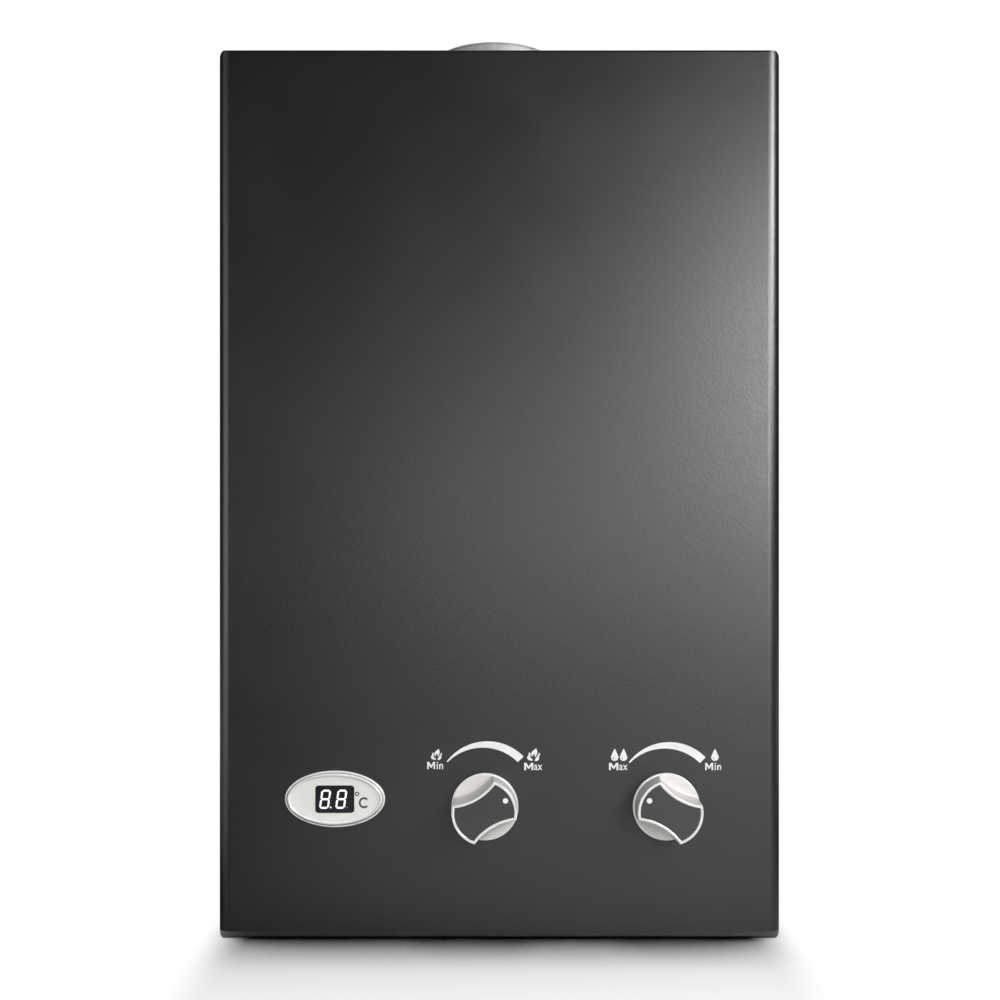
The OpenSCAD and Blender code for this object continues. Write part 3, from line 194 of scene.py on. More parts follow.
class HeaterPipeSettings(bpy.types.PropertyGroup):
    crest: FloatProperty(
        name="Crest", description="Outer radius of the pipe thread",
        unit="LENGTH", default=0.010475, precision=6)
    root: FloatProperty(
        name="Root", description="Radius at the bottom of the thread",
        unit="LENGTH", default=0.00931, precision=6)
    pitch: FloatProperty(
        name="Pitch", description="Pitch of the pipe thread", unit="LENGTH", default=0.001814, precision=6)
    thread: FloatProperty(
        name="Thread", description="Length of the thread", unit="LENGTH", default=0.015, precision=5)
    neck: FloatProperty(
        name="Neck", description="Radius of the plain neck", unit="LENGTH", default=0.009475, precision=6)
    bore: FloatProperty(
        name="Bore", description="Radius of the bore", unit="LENGTH", default=0.007, precision=5)
    port: FloatProperty(
        name="Port", description="Radius of the port at the inner end",
        unit="LENGTH", default=0.0042, precision=5)
    port_depth: FloatProperty(
        name="Port depth", description="Length of the port", unit="LENGTH", default=0.008, precision=5)


class HeaterStageSettings(bpy.types.PropertyGroup):
    distance: FloatProperty(
        name="Distance", description="From the cover's face to the camera",
        unit="LENGTH", default=0.75)
    eye: FloatVectorProperty(
        name="Eye", description="Sideways place and height of the camera",
        size=2, default=(0.0044, 0.2052), subtype="XYZ")
    lens: FloatProperty(name="Lens", description="Focal length in millimetres", default=47.16)
    shift: FloatVectorProperty(
        name="Shift", description="Shift of the frame", size=2, default=(-0.007, 0.0801))
    power: FloatProperty(
        name="Power", description="Power of the soft box on the right", default=5.4, unit="POWER")
    top: FloatProperty(name="Top", description="Power of the light overhead", default=3.0, unit="POWER")
    front: FloatProperty(
        name="Front", description="Power of the plain light from the front", default=7.0, unit="POWER")
    ambient: FloatProperty(name="Ambient", description="Light of the room", default=0.13)
    under: FloatProperty(name="Under", description="Power of the light below the bottom shelf", default=0.04)
    patch: FloatProperty(name="Patch", description="Light of the floor that the face mirrors", default=0.64)
    floor_glow: FloatProperty(name="Floor glow", description="Light that the floor adds of its own", default=0.2)


def panel_place(x, z, out=0.0, turn=0.0):
    """Place on the front: local x to the right, y up and z towards the viewer."""
    return (Matrix.Translation((x, FRONT_Y - out, z)) @ Matrix.Rotation(math.pi / 2, 4, "X")
        @ Matrix.Rotation(turn, 4, "Z"))


def tidy(bm):
    """Closes the seams of a finished mesh and turns its faces outwards."""
    bmesh.ops.remove_doubles(bm, verts=bm.verts, dist=WELD / 10)
    bmesh.ops.dissolve_degenerate(bm, edges=bm.edges, dist=WELD / 10)
    bmesh.ops.recalc_face_normals(bm, faces=bm.faces)


def mesh_of(name, bm):
    """A mesh of a bmesh, which is freed."""
    mesh = bpy.data.meshes.new(name)
    bm.to_mesh(mesh)
    bm.free()
    return mesh


def of_kind(geom, kind):
    """The vertices, edges or faces among what an operator gives back."""
    return [g for g in geom if isinstance(g, kind)]


def add_piece(name, bm, finishes, body, stands_for=(), sharp=35.0):
    """Makes an object of a finished mesh, which rides on a body."""
    tidy(bm)
    mesh = mesh_of(name, bm)
    for finish in finishes:
        mesh.materials.append(bpy.data.materials[finish])
    mesh.shade_smooth()
    mesh.set_sharp_from_angle(angle=math.radians(sharp))
    piece = bpy.data.objects.new(name, mesh)
    bpy.context.scene.collection.objects.link(piece)
    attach(piece, body)
    if stands_for:
        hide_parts(*stands_for)
    return piece


def chain(bm, points):
    """A line of edges through a few points."""
    verts = [bm.verts.new(p) for p in points]
    return verts, [bm.edges.new(pair) for pair in zip(verts, verts[1:])]


def turned(bm, profile, steps=48, place=None):
    """A profile of radius and height, turned about local z."""
    verts, edges = chain(bm, [(r, 0.0, h) for r, h in profile])
    before = set(bm.verts) - set(verts)
    bmesh.ops.spin(bm, geom=verts + edges, cent=(0, 0, 0), axis=(0, 0, 1), angle=2 * math.pi, steps=steps,
        use_merge=True)
    made = [v for v in bm.verts if v not in before]
    if place is not None:
        bmesh.ops.transform(bm, matrix=place, verts=made)
    return made


def oval(bm, a, b, height, segments):
    """Edges of an oval loop."""
    place = Matrix.Translation((0, 0, height)) @ Matrix.Diagonal((a, b, 1, 1))
    verts = bmesh.ops.create_circle(bm, cap_ends=False, segments=segments, radius=1.0, matrix=place)["verts"]
    return list({e for v in verts for e in v.link_edges})


def bridge(bm, loops):
    """Walls between loops that follow each other."""
    return [bmesh.ops.bridge_loops(bm, edges=a + b)["faces"] for a, b in zip(loops, loops[1:])]


def drawn(bm, edges, stages, second=()):
    """Draws a loop out through stages of half width, half depth and height; rings in second get that finish."""
    a, b, height = stages[0]
    for ring, (wide, deep, high) in enumerate(stages[1:]):
        made = bmesh.ops.extrude_edge_only(bm, edges=edges)["geom"]
        for face in of_kind(made, BMFace):
            face.material_index = int(ring in second)
        verts = of_kind(made, BMVert)
        fresh = set(verts)
        edges = [e for e in of_kind(made, BMEdge) if fresh.issuperset(e.verts)]
        bmesh.ops.scale(bm, vec=(wide / a, deep / b, 1.0), verts=verts)
        bmesh.ops.translate(bm, vec=(0, 0, high - height), verts=verts)
        a, b, height = wide, deep, high
    return edges


def arcs(bm, start, sweeps, height, steps, closed=True):
    """Edges of a line of arcs that starts at a point and turns about each centre in turn."""
    first = last = bm.verts.new((start[0], start[1], height))
    edges = []
    for (x, y), angle in sweeps:
        before = set(bm.edges)
        made = bmesh.ops.spin(bm, geom=[last], cent=(x, y, height), axis=(0, 0, 1), angle=angle, steps=steps)
        last = of_kind(made["geom_last"], BMVert)[0]
        edges += [e for e in bm.edges if e not in before]
    if closed:
        bmesh.ops.weld_verts(bm, targetmap={last: first})
        edges = [e for e in edges if e.is_valid] + [e for e in first.link_edges if e not in edges]
    return edges


def sharp_edges(bm, least):
    """Edges whose faces meet at more than an angle."""
    limit = math.radians(least)
    return [e for e in bm.edges if len(e.link_faces) == 2 and e.calc_face_angle() > limit]


def pattern(name, values, outputs):
    """An empty node group with its sockets."""
    tree = bpy.data.node_groups.new(name, "ShaderNodeTree")
    for label, default in values:
        tree.interface.new_socket(name=label, in_out="INPUT", socket_type="NodeSocketFloat").default_value = default
    for label in outputs:
        tree.interface.new_socket(name=label, in_out="OUTPUT", socket_type="NodeSocketFloat")
    return tree, tree.nodes.new("NodeGroupInput").outputs, tree.nodes.new("NodeGroupOutput")


def plug(tree, node, sockets):
    """Sets or links the sockets of a node."""
    for label, value in sockets:
        if isinstance(value, bpy.types.NodeSocket):
            tree.links.new(value, node.inputs[label])
        else:
            node.inputs[label].default_value = value


def put(tree, kind, sockets=(), **settings):
    """A node with its settings and sockets."""
    node = tree.nodes.new(kind)
    for label, value in settings.items():
        setattr(node, label, value)
    plug(tree, node, sockets)
    return node


def maths(tree, operation, *values):
    """The result of a Math node."""
    return put(tree, "ShaderNodeMath", enumerate(values), operation=operation).outputs[0]


def vectors(tree, operation, *values):
    """The result of a Vector Math node."""
    return put(tree, "ShaderNodeVectorMath", enumerate(values), operation=operation).outputs[0]


def length_of(tree, vector):
    """The length of a vector."""
    return put(tree, "ShaderNodeVectorMath", [(0, vector)], operation="LENGTH").outputs["Value"]


def own_coords(tree):
    """Object coordinates."""
    return put(tree, "ShaderNodeTexCoord").outputs["Object"]


def eased(tree, value, low, high, start=0.0, end=1.0):
    """Goes softly from a start to an end while a value goes from low to high."""
    return put(tree, "ShaderNodeMapRange", [("Value", value), ("From Min", low), ("From Max", high),
        ("To Min", start), ("To Max", end)], interpolation_type="SMOOTHSTEP").outputs[0]


def noise(tree, coords, scale, detail=2.0, roughness=0.5, distortion=0.0):
    """A noise texture."""
    return put(tree, "ShaderNodeTexNoise", [("Vector", coords), ("Scale", scale), ("Detail", detail),
        ("Roughness", roughness), ("Distortion", distortion)]).outputs


def make_patterns():
    """The surface effects that the finishes share."""
    tree, given, out = pattern("Grain", [("Fine", 1400.0), ("Coarse", 160.0)], ["Tone", "Height"])
    coords = own_coords(tree)
    fine = noise(tree, coords, given["Fine"], 3.0, 0.6)["Fac"]
    both = maths(tree, "ADD", fine, noise(tree, coords, given["Coarse"])["Fac"])
    plug(tree, out, [("Tone", eased(tree, both, 0.65, 1.35)), ("Height", fine)])

    tree, given, out = pattern("Drawn lines", [("Across", 2600.0), ("Along", 30.0)], ["Tone", "Height"])
    size = put(tree, "ShaderNodeCombineXYZ", [("X", given["Across"]), ("Y", given["Across"]),
        ("Z", given["Along"])]).outputs[0]
    lines = noise(tree, vectors(tree, "MULTIPLY", own_coords(tree), size), 1.0, 4.0, 0.65)["Fac"]
    plug(tree, out, [("Tone", eased(tree, lines, 0.3, 0.7)), ("Height", lines)])

    tree, given, out = pattern("Spangle", [("Flakes", 170.0), ("Fine", 900.0)], ["Tone", "Height"])
    coords = own_coords(tree)
    bent = vectors(tree, "MULTIPLY_ADD", noise(tree, coords, 220.0)["Color"], (0.004, 0.004, 0.004), coords)
    flake = put(tree, "ShaderNodeTexVoronoi", [("Vector", bent), ("Scale", given["Flakes"])])
    shade = put(tree, "ShaderNodeSeparateColor", [("Color", flake.outputs["Color"])]).outputs[0]
    dust = noise(tree, coords, given["Fine"])["Fac"]
    plug(tree, out, [("Tone", maths(tree, "MULTIPLY_ADD", dust, 0.35, shade)), ("Height", dust)])

    tree, given, out = pattern("Handling", [("Size", 26.0)], ["Mask"])
    blot = noise(tree, own_coords(tree), given["Size"], 5.0, 0.55, 0.4)["Fac"]
    plug(tree, out, [("Mask", eased(tree, blot, 0.35, 0.7))])


def make_finish(name, colour, roughness, effect, scales=(), metallic=0.0, tint=0.1, spread=0.05, bump=0.15,
        depth=0.00005, glow=0.0, **shader):
    """A finish whose colour, roughness and relief follow an effect, with its own scales, and handling marks."""
    material = bpy.data.materials.new(name)
    material.use_nodes = True
    tree = material.node_tree
    surface = tree.nodes["Principled BSDF"]
    texture = put(tree, "ShaderNodeGroup", node_tree=bpy.data.node_groups[effect])
    plug(tree, texture, enumerate(scales))
    marks = put(tree, "ShaderNodeGroup", node_tree=bpy.data.node_groups["Handling"])
    low = [c * (1 - tint) for c in colour] + [1.0]
    high = [min(1.0, c * (1 + tint)) for c in colour] + [1.0]
    mix = put(tree, "ShaderNodeMix", [("Factor", texture.outputs["Tone"]), (6, low), (7, high)], data_type="RGBA")
    rough = put(tree, "ShaderNodeMapRange", [("Value", marks.outputs["Mask"]),
        ("To Min", roughness - spread), ("To Max", roughness + spread)])
    relief = put(tree, "ShaderNodeBump", [("Strength", bump), ("Distance", depth),
        ("Height", texture.outputs["Height"])])
    plug(tree, surface, [("Base Color", mix.outputs[2]), ("Roughness", rough.outputs[0]),
        ("Normal", relief.outputs["Normal"]), ("Metallic", metallic)])
    if glow:
        plug(tree, surface, [("Emission Color", mix.outputs[2]), ("Emission Strength", glow)])
    for label, value in shader.items():
        surface.inputs[label.replace("_", " ").title().replace("Ior", "IOR")].default_value = value
    return material


def unlit(material):
    """Leaves the last point of the display dark."""
    tree = material.node_tree
    surface = tree.nodes["Principled BSDF"]
    low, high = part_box("led_segments")
    axes = put(tree, "ShaderNodeSeparateXYZ", [(0, own_coords(tree))]).outputs
    right = maths(tree, "GREATER_THAN", axes["X"], high.x - POINT_WIDTH)
    foot = maths(tree, "LESS_THAN", axes["Z"], low.z + POINT_HEIGHT)
    mix = put(tree, "ShaderNodeMix", [("Factor", maths(tree, "MULTIPLY", right, foot)),
        (6, surface.inputs["Base Color"].links[0].from_socket), (7, UNLIT_COLOUR)], data_type="RGBA")
    plug(tree, surface, [("Base Color", mix.outputs[2]), ("Emission Color", mix.outputs[2])])


def make_finishes(settings):
    """Every finish of the heater."""
    make_finish("Powder coat", settings.cabinet, 0.36, "Grain", (640.0, 130.0), tint=0.3, spread=0.012, bump=0.6,
        depth=0.00012, specular_ior_level=1.0)
    make_finish("Galvanised sheet", (0.52, 0.53, 0.545), 0.42, "Spangle", metallic=0.9, tint=0.2, spread=0.08)
    make_finish("Collar steel", (0.4, 0.395, 0.385), 0.55, "Drawn lines", (420.0, 3.0), metallic=0.35, bump=0.08)
    make_finish("Turned steel", (0.55, 0.55, 0.56), 0.32, "Drawn lines", (60.0, 5000.0), metallic=1.0, tint=0.12)
    make_finish("Copper", (0.72, 0.36, 0.22), 0.3, "Grain", (700.0, 60.0), metallic=1.0, tint=0.18, spread=0.1)
    make_finish("Brass", (0.71, 0.55, 0.27), 0.3, "Drawn lines", (80.0, 4200.0), metallic=1.0, tint=0.12,
        spread=0.08)
    make_finish("Cast alloy", (0.5, 0.5, 0.51), 0.5, "Grain", (1100.0, 220.0), metallic=0.85, tint=0.14, bump=0.4,
        depth=0.0002)
    make_finish("Satin plate", settings.plate, 0.42, "Drawn lines", (900.0, 900.0), metallic=0.1, tint=0.05,
        spread=0.03, bump=0.05, specular_ior_level=0.3)
    make_finish("Polished plate", (0.88, 0.875, 0.865), 0.16, "Grain", metallic=0.18, tint=0.03, spread=0.03,
        bump=0.02)
    # Painted shade: a dark grey on the bezel's groove rings stands in for the shadow in the groove.
    make_finish("Groove shade", (0.1, 0.1, 0.098), 0.3, "Grain")
    make_finish("Spring strip", (0.6, 0.6, 0.6), 0.25, "Drawn lines", metallic=1.0, tint=0.08)
    make_finish("Dark plastic", (0.02, 0.02, 0.021), 0.45, "Grain", (1800.0, 200.0), tint=0.15, bump=0.3)
    make_finish("Knob inlay", settings.inlay, 0.34, "Grain", (1500.0, 120.0), spread=0.03, bump=0.06,
        specular_ior_level=1.0)
    make_finish("Pale plastic", settings.face_plate, 0.32, "Grain", tint=0.02, spread=0.03, bump=0.04)
    make_finish("Display black", (0.006, 0.006, 0.007), 0.16, "Grain", tint=0.2, spread=0.02, bump=0.02)
    unlit(make_finish("Lit segment", (0.86, 0.87, 0.88), 0.4, "Grain", tint=0.05, glow=0.4))
    make_finish("Knob dot", (0.85, 0.85, 0.84), 0.45, "Grain", tint=0.03)
    make_finish("Scale print", settings.marks, 0.5, "Grain", tint=0.03, bump=0.08)
    make_finish("Dark print", (0.02, 0.02, 0.02), 0.5, "Grain")
    make_finish("Black rubber", (0.017, 0.017, 0.018), 0.6, "Grain", tint=0.2, bump=0.3)
    make_finish("Circuit board", (0.02, 0.12, 0.05), 0.4, "Drawn lines", (500.0, 300.0), tint=0.25)
    make_finish("Ceramic", (0.8, 0.79, 0.76), 0.28, "Grain", tint=0.04, bump=0.05)


class HEATER_OT_finishes(bpy.types.Operator):
    """Makes the finishes and gives one to every solid"""
    bl_idname = "heater.finishes"
    bl_label = "Finish the solids"

    def execute(self, context):
        make_patterns()
        make_finishes(context.scene.heater_finish)
        for finish, names in NODE_FINISHES.items():
            for name in names:
                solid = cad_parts[name].data
                solid.materials.clear()
                solid.materials.append(bpy.data.materials[finish])
        left = set(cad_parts) - {n for names in NODE_FINISHES.values() for n in names}
        if left:
            raise RuntimeError(f"no finish for {sorted(left)}")
        return {"FINISHED"}


KNOBS = (("gas_knob", "gas_control", -60), ("water_knob", "water_control", 60))
KNOB_WALL, KNOB_HOLLOW, KNOB_HUB = 0.0025, 0.0015, 0.006
KNOB_SOCKET, SOCKET_DEPTH = 0.0043, 0.0143
GRIP_SWELL = 0.00025
KNOB_CREASE = 50


def knob_loop(bm, knob, radius, scallop, height, hollow=True):
    """Outline of a knob: two round ends about the middle, and between them two flanks, hollow or round."""
    reach = knob.waist + knob.scallop
    x = (radius ** 2 + reach ** 2 - scallop ** 2) / (2 * reach)
    y = math.sqrt(radius ** 2 - x ** 2)
    corner = math.atan2(y, x)
    sweeps = []
    for side in (-reach, reach):
        flank = ((side, 0), -2 * math.atan2(y, reach - x)) if hollow else ((0, 0), 2 * corner)
        sweeps += [((0, 0), math.pi - 2 * corner), flank]
    return arcs(bm, (x, y), sweeps, height, knob.steps)


def knob_mesh(knob):
    """A knob with a round foot, a waisted grip and a recess for its inlay."""
    bm = bmesh.new()
    wide, narrow = knob.base / 2, knob.face / 2
    low = knob.scallop - knob.draft
    top = knob.height
    floor = top - knob.recess
    middle = (knob.ledge + top) / 2
    shoulder = wide - knob.band
    foot = knob_loop(bm, knob, wide, low, 0.0, hollow=False)
    rest = knob_loop(bm, knob, wide, low, knob.ledge, hollow=False)
    lip = knob_loop(bm, knob, shoulder, low, knob.ledge, hollow=False)
    root = knob_loop(bm, knob, shoulder, low, knob.ledge)
    belly = knob_loop(bm, knob, (shoulder + narrow) / 2 + GRIP_SWELL, (low + knob.scallop) / 2, middle)
    crown = knob_loop(bm, knob, narrow, knob.scallop, top)
    mouth = knob_loop(bm, knob, narrow - knob.rim, knob.scallop + knob.rim, top)
    bed = knob_loop(bm, knob, narrow - knob.rim, knob.scallop + knob.rim, floor)
    walls = bridge(bm, [foot, rest, lip, root, belly, crown, mouth, bed])
    # The foot's edge strip and the rim round the inlay get the lighter polished plate; on the foot's edge it is
    # partly real polish and partly a painted highlight.
    for face in walls[1] + walls[5]:
        face.material_index = 1
    bmesh.ops.edgeloop_fill(bm, edges=bed)
    skirt = wide - KNOB_WALL
    inside = ((wide, 0.0), (skirt, 0.0), (skirt, KNOB_HOLLOW), (KNOB_HUB, KNOB_HOLLOW), (KNOB_HUB, 0.0),
        (KNOB_SOCKET, 0.0), (KNOB_SOCKET, SOCKET_DEPTH))
    bmesh.ops.edgeloop_fill(bm, edges=drawn(bm, foot, [(r, r, h) for r, h in inside]))
    tidy(bm)
    bmesh.ops.bevel(bm, geom=sharp_edges(bm, KNOB_CREASE), offset=knob.edge, offset_type="OFFSET", segments=3,
        profile=0.5, affect="EDGES", material=-1, clamp_overlap=True)
    return bm


class HEATER_OT_knobs(bpy.types.Operator):
    """Models the two plated knobs"""
    bl_idname = "heater.knobs"
    bl_label = "Knobs"

    def execute(self, context):
        knob = context.scene.heater_knob
        for node, body, turn in KNOBS:
            low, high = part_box(node)
            middle = (low + high) / 2
            bm = knob_mesh(knob)
            place = panel_place(middle.x, middle.z, knob.gap, math.radians(turn))
            bmesh.ops.transform(bm, matrix=place, verts=bm.verts)
            add_piece(node + "_plated", bm, ("Satin plate", "Polished plate"), body, (node,))
        return {"FINISHED"}


BEZEL_PROFILE = ((0.0, 0.0), (0.0, 0.7), (0.22, 1.3), (0.62, 1.62), (1.05, 1.55), (1.25, 1.3), (1.42, 1.35),
    (1.62, 2.1), (1.95, 2.75), (2.35, 2.98), (2.75, 2.75), (3.05, 2.2), (3.2, 1.65))
# Rings of the bezel's groove that get the dark painted groove shade.
GROOVE_RINGS = (4, 5)
SEAT_LAP = 0.05 * MM
CELSIUS, CELSIUS_WEIGHT = ((-77.8, 74.9), 4.9, 6.2), 0.016
DEGREE = ((-81.3, 83.1), 1.25, 0.62)


class HEATER_OT_display(bpy.types.Operator):
    """Models the display's ring and prints its marks"""
    bl_idname = "heater.display"
    bl_label = "Display"

    def execute(self, context):
        display = context.scene.heater_display
        low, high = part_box("display_bezel")
        x, z = (low.x + high.x) / 2, (low.z + high.z) / 2
        a, b = display.width / 2, display.height / 2
        profile = [(o * MM, h * MM) for o, h in BEZEL_PROFILE]
        profile += [(display.seat, display.plate + SEAT_LAP), (display.seat, 0.0), (0.0, 0.0)]
        bm = bmesh.new()
        drawn(bm, oval(bm, a, b, 0.0, display.segments), [(a - o, b - o, h) for o, h in profile], GROOVE_RINGS)
        bmesh.ops.transform(bm, matrix=panel_place(x, z), verts=bm.verts)
        add_piece("display_ring", bm, ("Polished plate", "Groove shade"), "casing",
            ("display_bezel",), 60)

        film = context.scene.heater_print.film
        bm = bmesh.new()
        unit = panel_place(0, 0, display.plate)
        add_word(bm, "C", *CELSIUS, film, unit, CELSIUS_WEIGHT)
        ring_mark(bm, *DEGREE, film, unit)
        add_piece("degree_mark", bm, ("Dark print",), "casing")
        return {"FINISHED"}


def add_word(bm, text, place, width, height, film, unit, weight=0.012):
    """A printed word in millimetres: its middle, its foot, its width and its height."""
    curve = bpy.data.curves.new(text, "FONT")
    curve.body = text
    curve.size = 1.0
    curve.offset = weight
    curve.space_character = 1.08
    curve.resolution_u = 6
    add_flat(bm, curve, (place[0] - width / 2, place[1]), width, height, film, unit)


def add_outline(bm, outlines, place, width, height, film, unit):
    """A printed sign in millimetres from outlines of points, each smooth or sharp."""
    curve = bpy.data.curves.new("sign", "CURVE")
    curve.dimensions = "2D"
    curve.fill_mode = "BOTH"
    curve.resolution_u = 10
    for outline in outlines:
        spline = curve.splines.new("BEZIER")
        spline.bezier_points.add(len(outline) - 1)
        spline.use_cyclic_u = True
        for point, (x, y, kind) in zip(spline.bezier_points, outline):
            point.co = (x, y, 0.0)
            point.handle_left_type = point.handle_right_type = kind
    add_flat(bm, curve, place, width, height, film, unit)


def add_label(bm, tail, place, width, height, film, unit):
    """A printed label of a capital and its tail in millimetres: its middle, its foot, its width and its height."""
    wide, high = TAILS[tail]
    left = place[0] - width / 2
    add_outline(bm, CAPITAL, (left, place[1]), width * CAPITAL_SHARE, height, film, unit)
    add_word(bm, tail, (left + width * (1 - wide / 2), place[1]), width * wide, height * high, film, unit)


def add_flat(bm, curve, corner, width, height, film, unit):
    """Makes a flat curve a mesh, fits it to a box and raises it by the film's thickness."""
    curve.extrude = 0.5
    shape = bpy.data.objects.new(curve.name, curve)
    bpy.context.scene.collection.objects.link(shape)
    bpy.context.view_layer.update()
    mesh = bpy.data.meshes.new_from_object(shape.evaluated_get(bpy.context.evaluated_depsgraph_get()))
    bpy.data.objects.remove(shape)
    xs = [v.co.x for v in mesh.vertices]
    ys = [v.co.y for v in mesh.vertices]
    fit = (Matrix.Translation((corner[0] * MM, corner[1] * MM, film / 2))
        @ Matrix.Diagonal((width * MM / (max(xs) - min(xs)), height * MM / (max(ys) - min(ys)), film, 1))
        @ Matrix.Translation((-min(xs), -min(ys), 0)))
    mesh.transform(unit @ fit)
    bm.from_mesh(mesh)
    bpy.data.meshes.remove(mesh)
    bpy.data.curves.remove(curve)


def ring_mark(bm, middle, outer, inner, film, unit):
    """A small printed ring in millimetres."""
    turned(bm, [(outer * MM, 0), (outer * MM, film), (inner * MM, film), (inner * MM, 0), (outer * MM, 0)], 24,
        unit @ Matrix.Translation((middle[0] * MM, middle[1] * MM, 0)))


def circle_through(a, b, c):
    """Centre of the circle through three points, and the angle from the first to the last."""
    mid = (Vector(a) + Vector(b)) / 2
    other = (Vector(b) + Vector(c)) / 2
    d, e = Vector(b) - Vector(a), Vector(c) - Vector(b)
    det = d.x * e.y - d.y * e.x
    p, q = d.dot(mid), e.dot(other)
    centre = Vector(((p * e.y - q * d.y) / det, (d.x * q - e.x * p) / det))
    start, end = Vector(a) - centre, Vector(c) - centre
    return centre, math.atan2(end.y, end.x) - math.atan2(start.y, start.x)


def add_crescent(bm, outer, inner, film, unit, steps=40):
    """A printed crescent between two arcs, each through three points in millimetres."""
    before = set(bm.verts)
    lines = []
    for points in (outer, inner):
        centre, angle = circle_through(*[Vector(p) * MM for p in points])
        lines.append(arcs(bm, Vector(points[0]) * MM, [(centre, angle)], 0.0, steps, closed=False))
    faces = bridge(bm, lines)[0]
    raised = bmesh.ops.extrude_face_region(bm, geom=faces, use_keep_orig=True)["geom"]
    bmesh.ops.translate(bm, vec=(0, 0, film), verts=of_kind(raised, BMVert))
    bmesh.ops.transform(bm, matrix=unit, verts=[v for v in bm.verts if v not in before])


SMOOTH, SHARP = "AUTO", "VECTOR"
FLAME = (
    ((0.70, 1.00, SHARP), (0.79, 0.66, SMOOTH), (0.62, 0.28, SHARP), (0.56, 0.60, SHARP), (0.36, 0.31, SHARP),
        (0.32, 0.60, SMOOTH)),
    ((0.19, 0.66, SMOOTH), (0.10, 0.43, SMOOTH), (0.00, 0.26, SMOOTH), (0.24, 0.03, SMOOTH), (0.44, 0.07, SMOOTH),
        (0.27, 0.25, SMOOTH), (0.25, 0.56, SMOOTH)),
    ((0.95, 0.66, SHARP), (1.00, 0.50, SMOOTH), (0.90, 0.33, SHARP), (0.96, 0.22, SHARP), (0.78, 0.00, SMOOTH),
        (0.58, 0.02, SHARP), (0.72, 0.28, SMOOTH)),
)
CAPITAL = (tuple((x, y, SHARP) for x, y in (
    (0.00, 0.00), (0.00, 1.00), (0.23, 1.00), (0.50, 0.50), (0.77, 1.00), (1.00, 1.00), (1.00, 0.00),
    (0.80, 0.00), (0.80, 0.64), (0.57, 0.20), (0.43, 0.20), (0.20, 0.64), (0.20, 0.00))),)
CAPITAL_SHARE = 0.5
TAILS = {"in": (0.40, 1.0), "ax": (0.45, 0.75)}
DROP = (
    ((0.50, 1.00, SHARP), (0.86, 0.50, SMOOTH), (0.96, 0.26, SMOOTH), (0.50, 0.00, SMOOTH), (0.04, 0.26, SMOOTH),
        (0.14, 0.50, SMOOTH)),
    ((0.24, 0.34, SHARP), (0.28, 0.18, SMOOTH), (0.48, 0.12, SHARP), (0.36, 0.22, SMOOTH)),
)
CRESCENT = (((-30.1, 101.4), (-7.4, 112.9), (13.9, 104.2)), ((-29.6, 100.9), (-7.2, 109.2), (10.6, 101.0)))
SCALES = (
    ("gas_scale", (0.0, 0.0),
        ((FLAME, (-39.2, 102.2), 6.4, 6.4), (FLAME, (15.9, 101.6), 7.4, 7.4)),
        (("in", (-36.75, 97.0), 9.1), ("ax", (19.45, 96.4), 10.4))),
    ("water_scale", (104.2, -0.5),
        ((DROP, (63.9, 101.7), 4.3, 7.1), (DROP, (69.0, 101.7), 4.3, 7.1), (DROP, (121.3, 101.7), 4.3, 7.1)),
        (("ax", (68.15, 96.4), 10.7), ("in", (122.4, 96.4), 9.1))),
)


class HEATER_OT_scales(bpy.types.Operator):
    """Prints the scales over the knobs"""
    bl_idname = "heater.scales"
    bl_label = "Printed scales"

    def execute(self, context):
        settings = context.scene.heater_print
        film, tall = settings.film, settings.letter / MM
        unit = panel_place(0, 0)
        for name, shift, signs, labels in SCALES:
            bm = bmesh.new()
            add_crescent(bm, *[[Vector(p) + Vector(shift) for p in arc] for arc in CRESCENT], film, unit)
            for outlines, corner, width, height in signs:
                add_outline(bm, outlines, corner, width, height, film, unit)
            for tail, place, width in labels:
                add_label(bm, tail, place, width, tall, film, unit)
            add_piece(name, bm, ("Scale print",), "casing")
        return {"FINISHED"}


def flat_edges(bm, height):
    """Open edges at a height."""
    return [e for e in bm.edges if e.is_boundary and all(abs(v.co.z - height) < WELD for v in e.verts)]


STUB_SIDES = 40
CREST_FROM, CREST_TO = 0.42, 0.58
LEAD_IN, SPARE_TURNS = 1.5, 3


def stub_mesh(pipe, low, high):
    """A stub with a cut thread below, a plain neck above and a stepped bore."""
    bm = bmesh.new()
    end = low + pipe.thread
    turns = math.ceil(pipe.thread / pipe.pitch) + SPARE_TURNS
    start = low - LEAD_IN * pipe.pitch
    points = [(pipe.root, 0, start), (pipe.crest, 0, start + CREST_FROM * pipe.pitch),
        (pipe.crest, 0, start + CREST_TO * pipe.pitch), (pipe.root, 0, start + pipe.pitch)]
    verts, edges = chain(bm, points)
    bmesh.ops.spin(bm, geom=verts + edges, cent=(0, 0, 0), axis=(0, 0, 1), dvec=(0, 0, pipe.pitch / STUB_SIDES),
        angle=2 * math.pi * turns, steps=STUB_SIDES * turns)
    bmesh.ops.remove_doubles(bm, verts=bm.verts, dist=WELD)
    for height, below in ((low, True), (end, False)):
        bmesh.ops.bisect_plane(bm, geom=bm.verts[:] + bm.edges[:] + bm.faces[:], dist=WELD / 10,
            plane_co=(0, 0, height), plane_no=(0, 0, 1), clear_inner=below, clear_outer=not below)
    top, foot = flat_edges(bm, end), flat_edges(bm, low)
    neck = oval(bm, pipe.neck, pipe.neck, end, STUB_SIDES)
    step = high - pipe.port_depth
    inside = ((pipe.neck, end), (pipe.neck, high), (pipe.port, high), (pipe.port, step), (pipe.bore, step),
        (pipe.bore, low))
    mouth = drawn(bm, neck, [(r, r, h) for r, h in inside])
    bridge(bm, [top, neck])
    bridge(bm, [mouth, foot])
    return bm


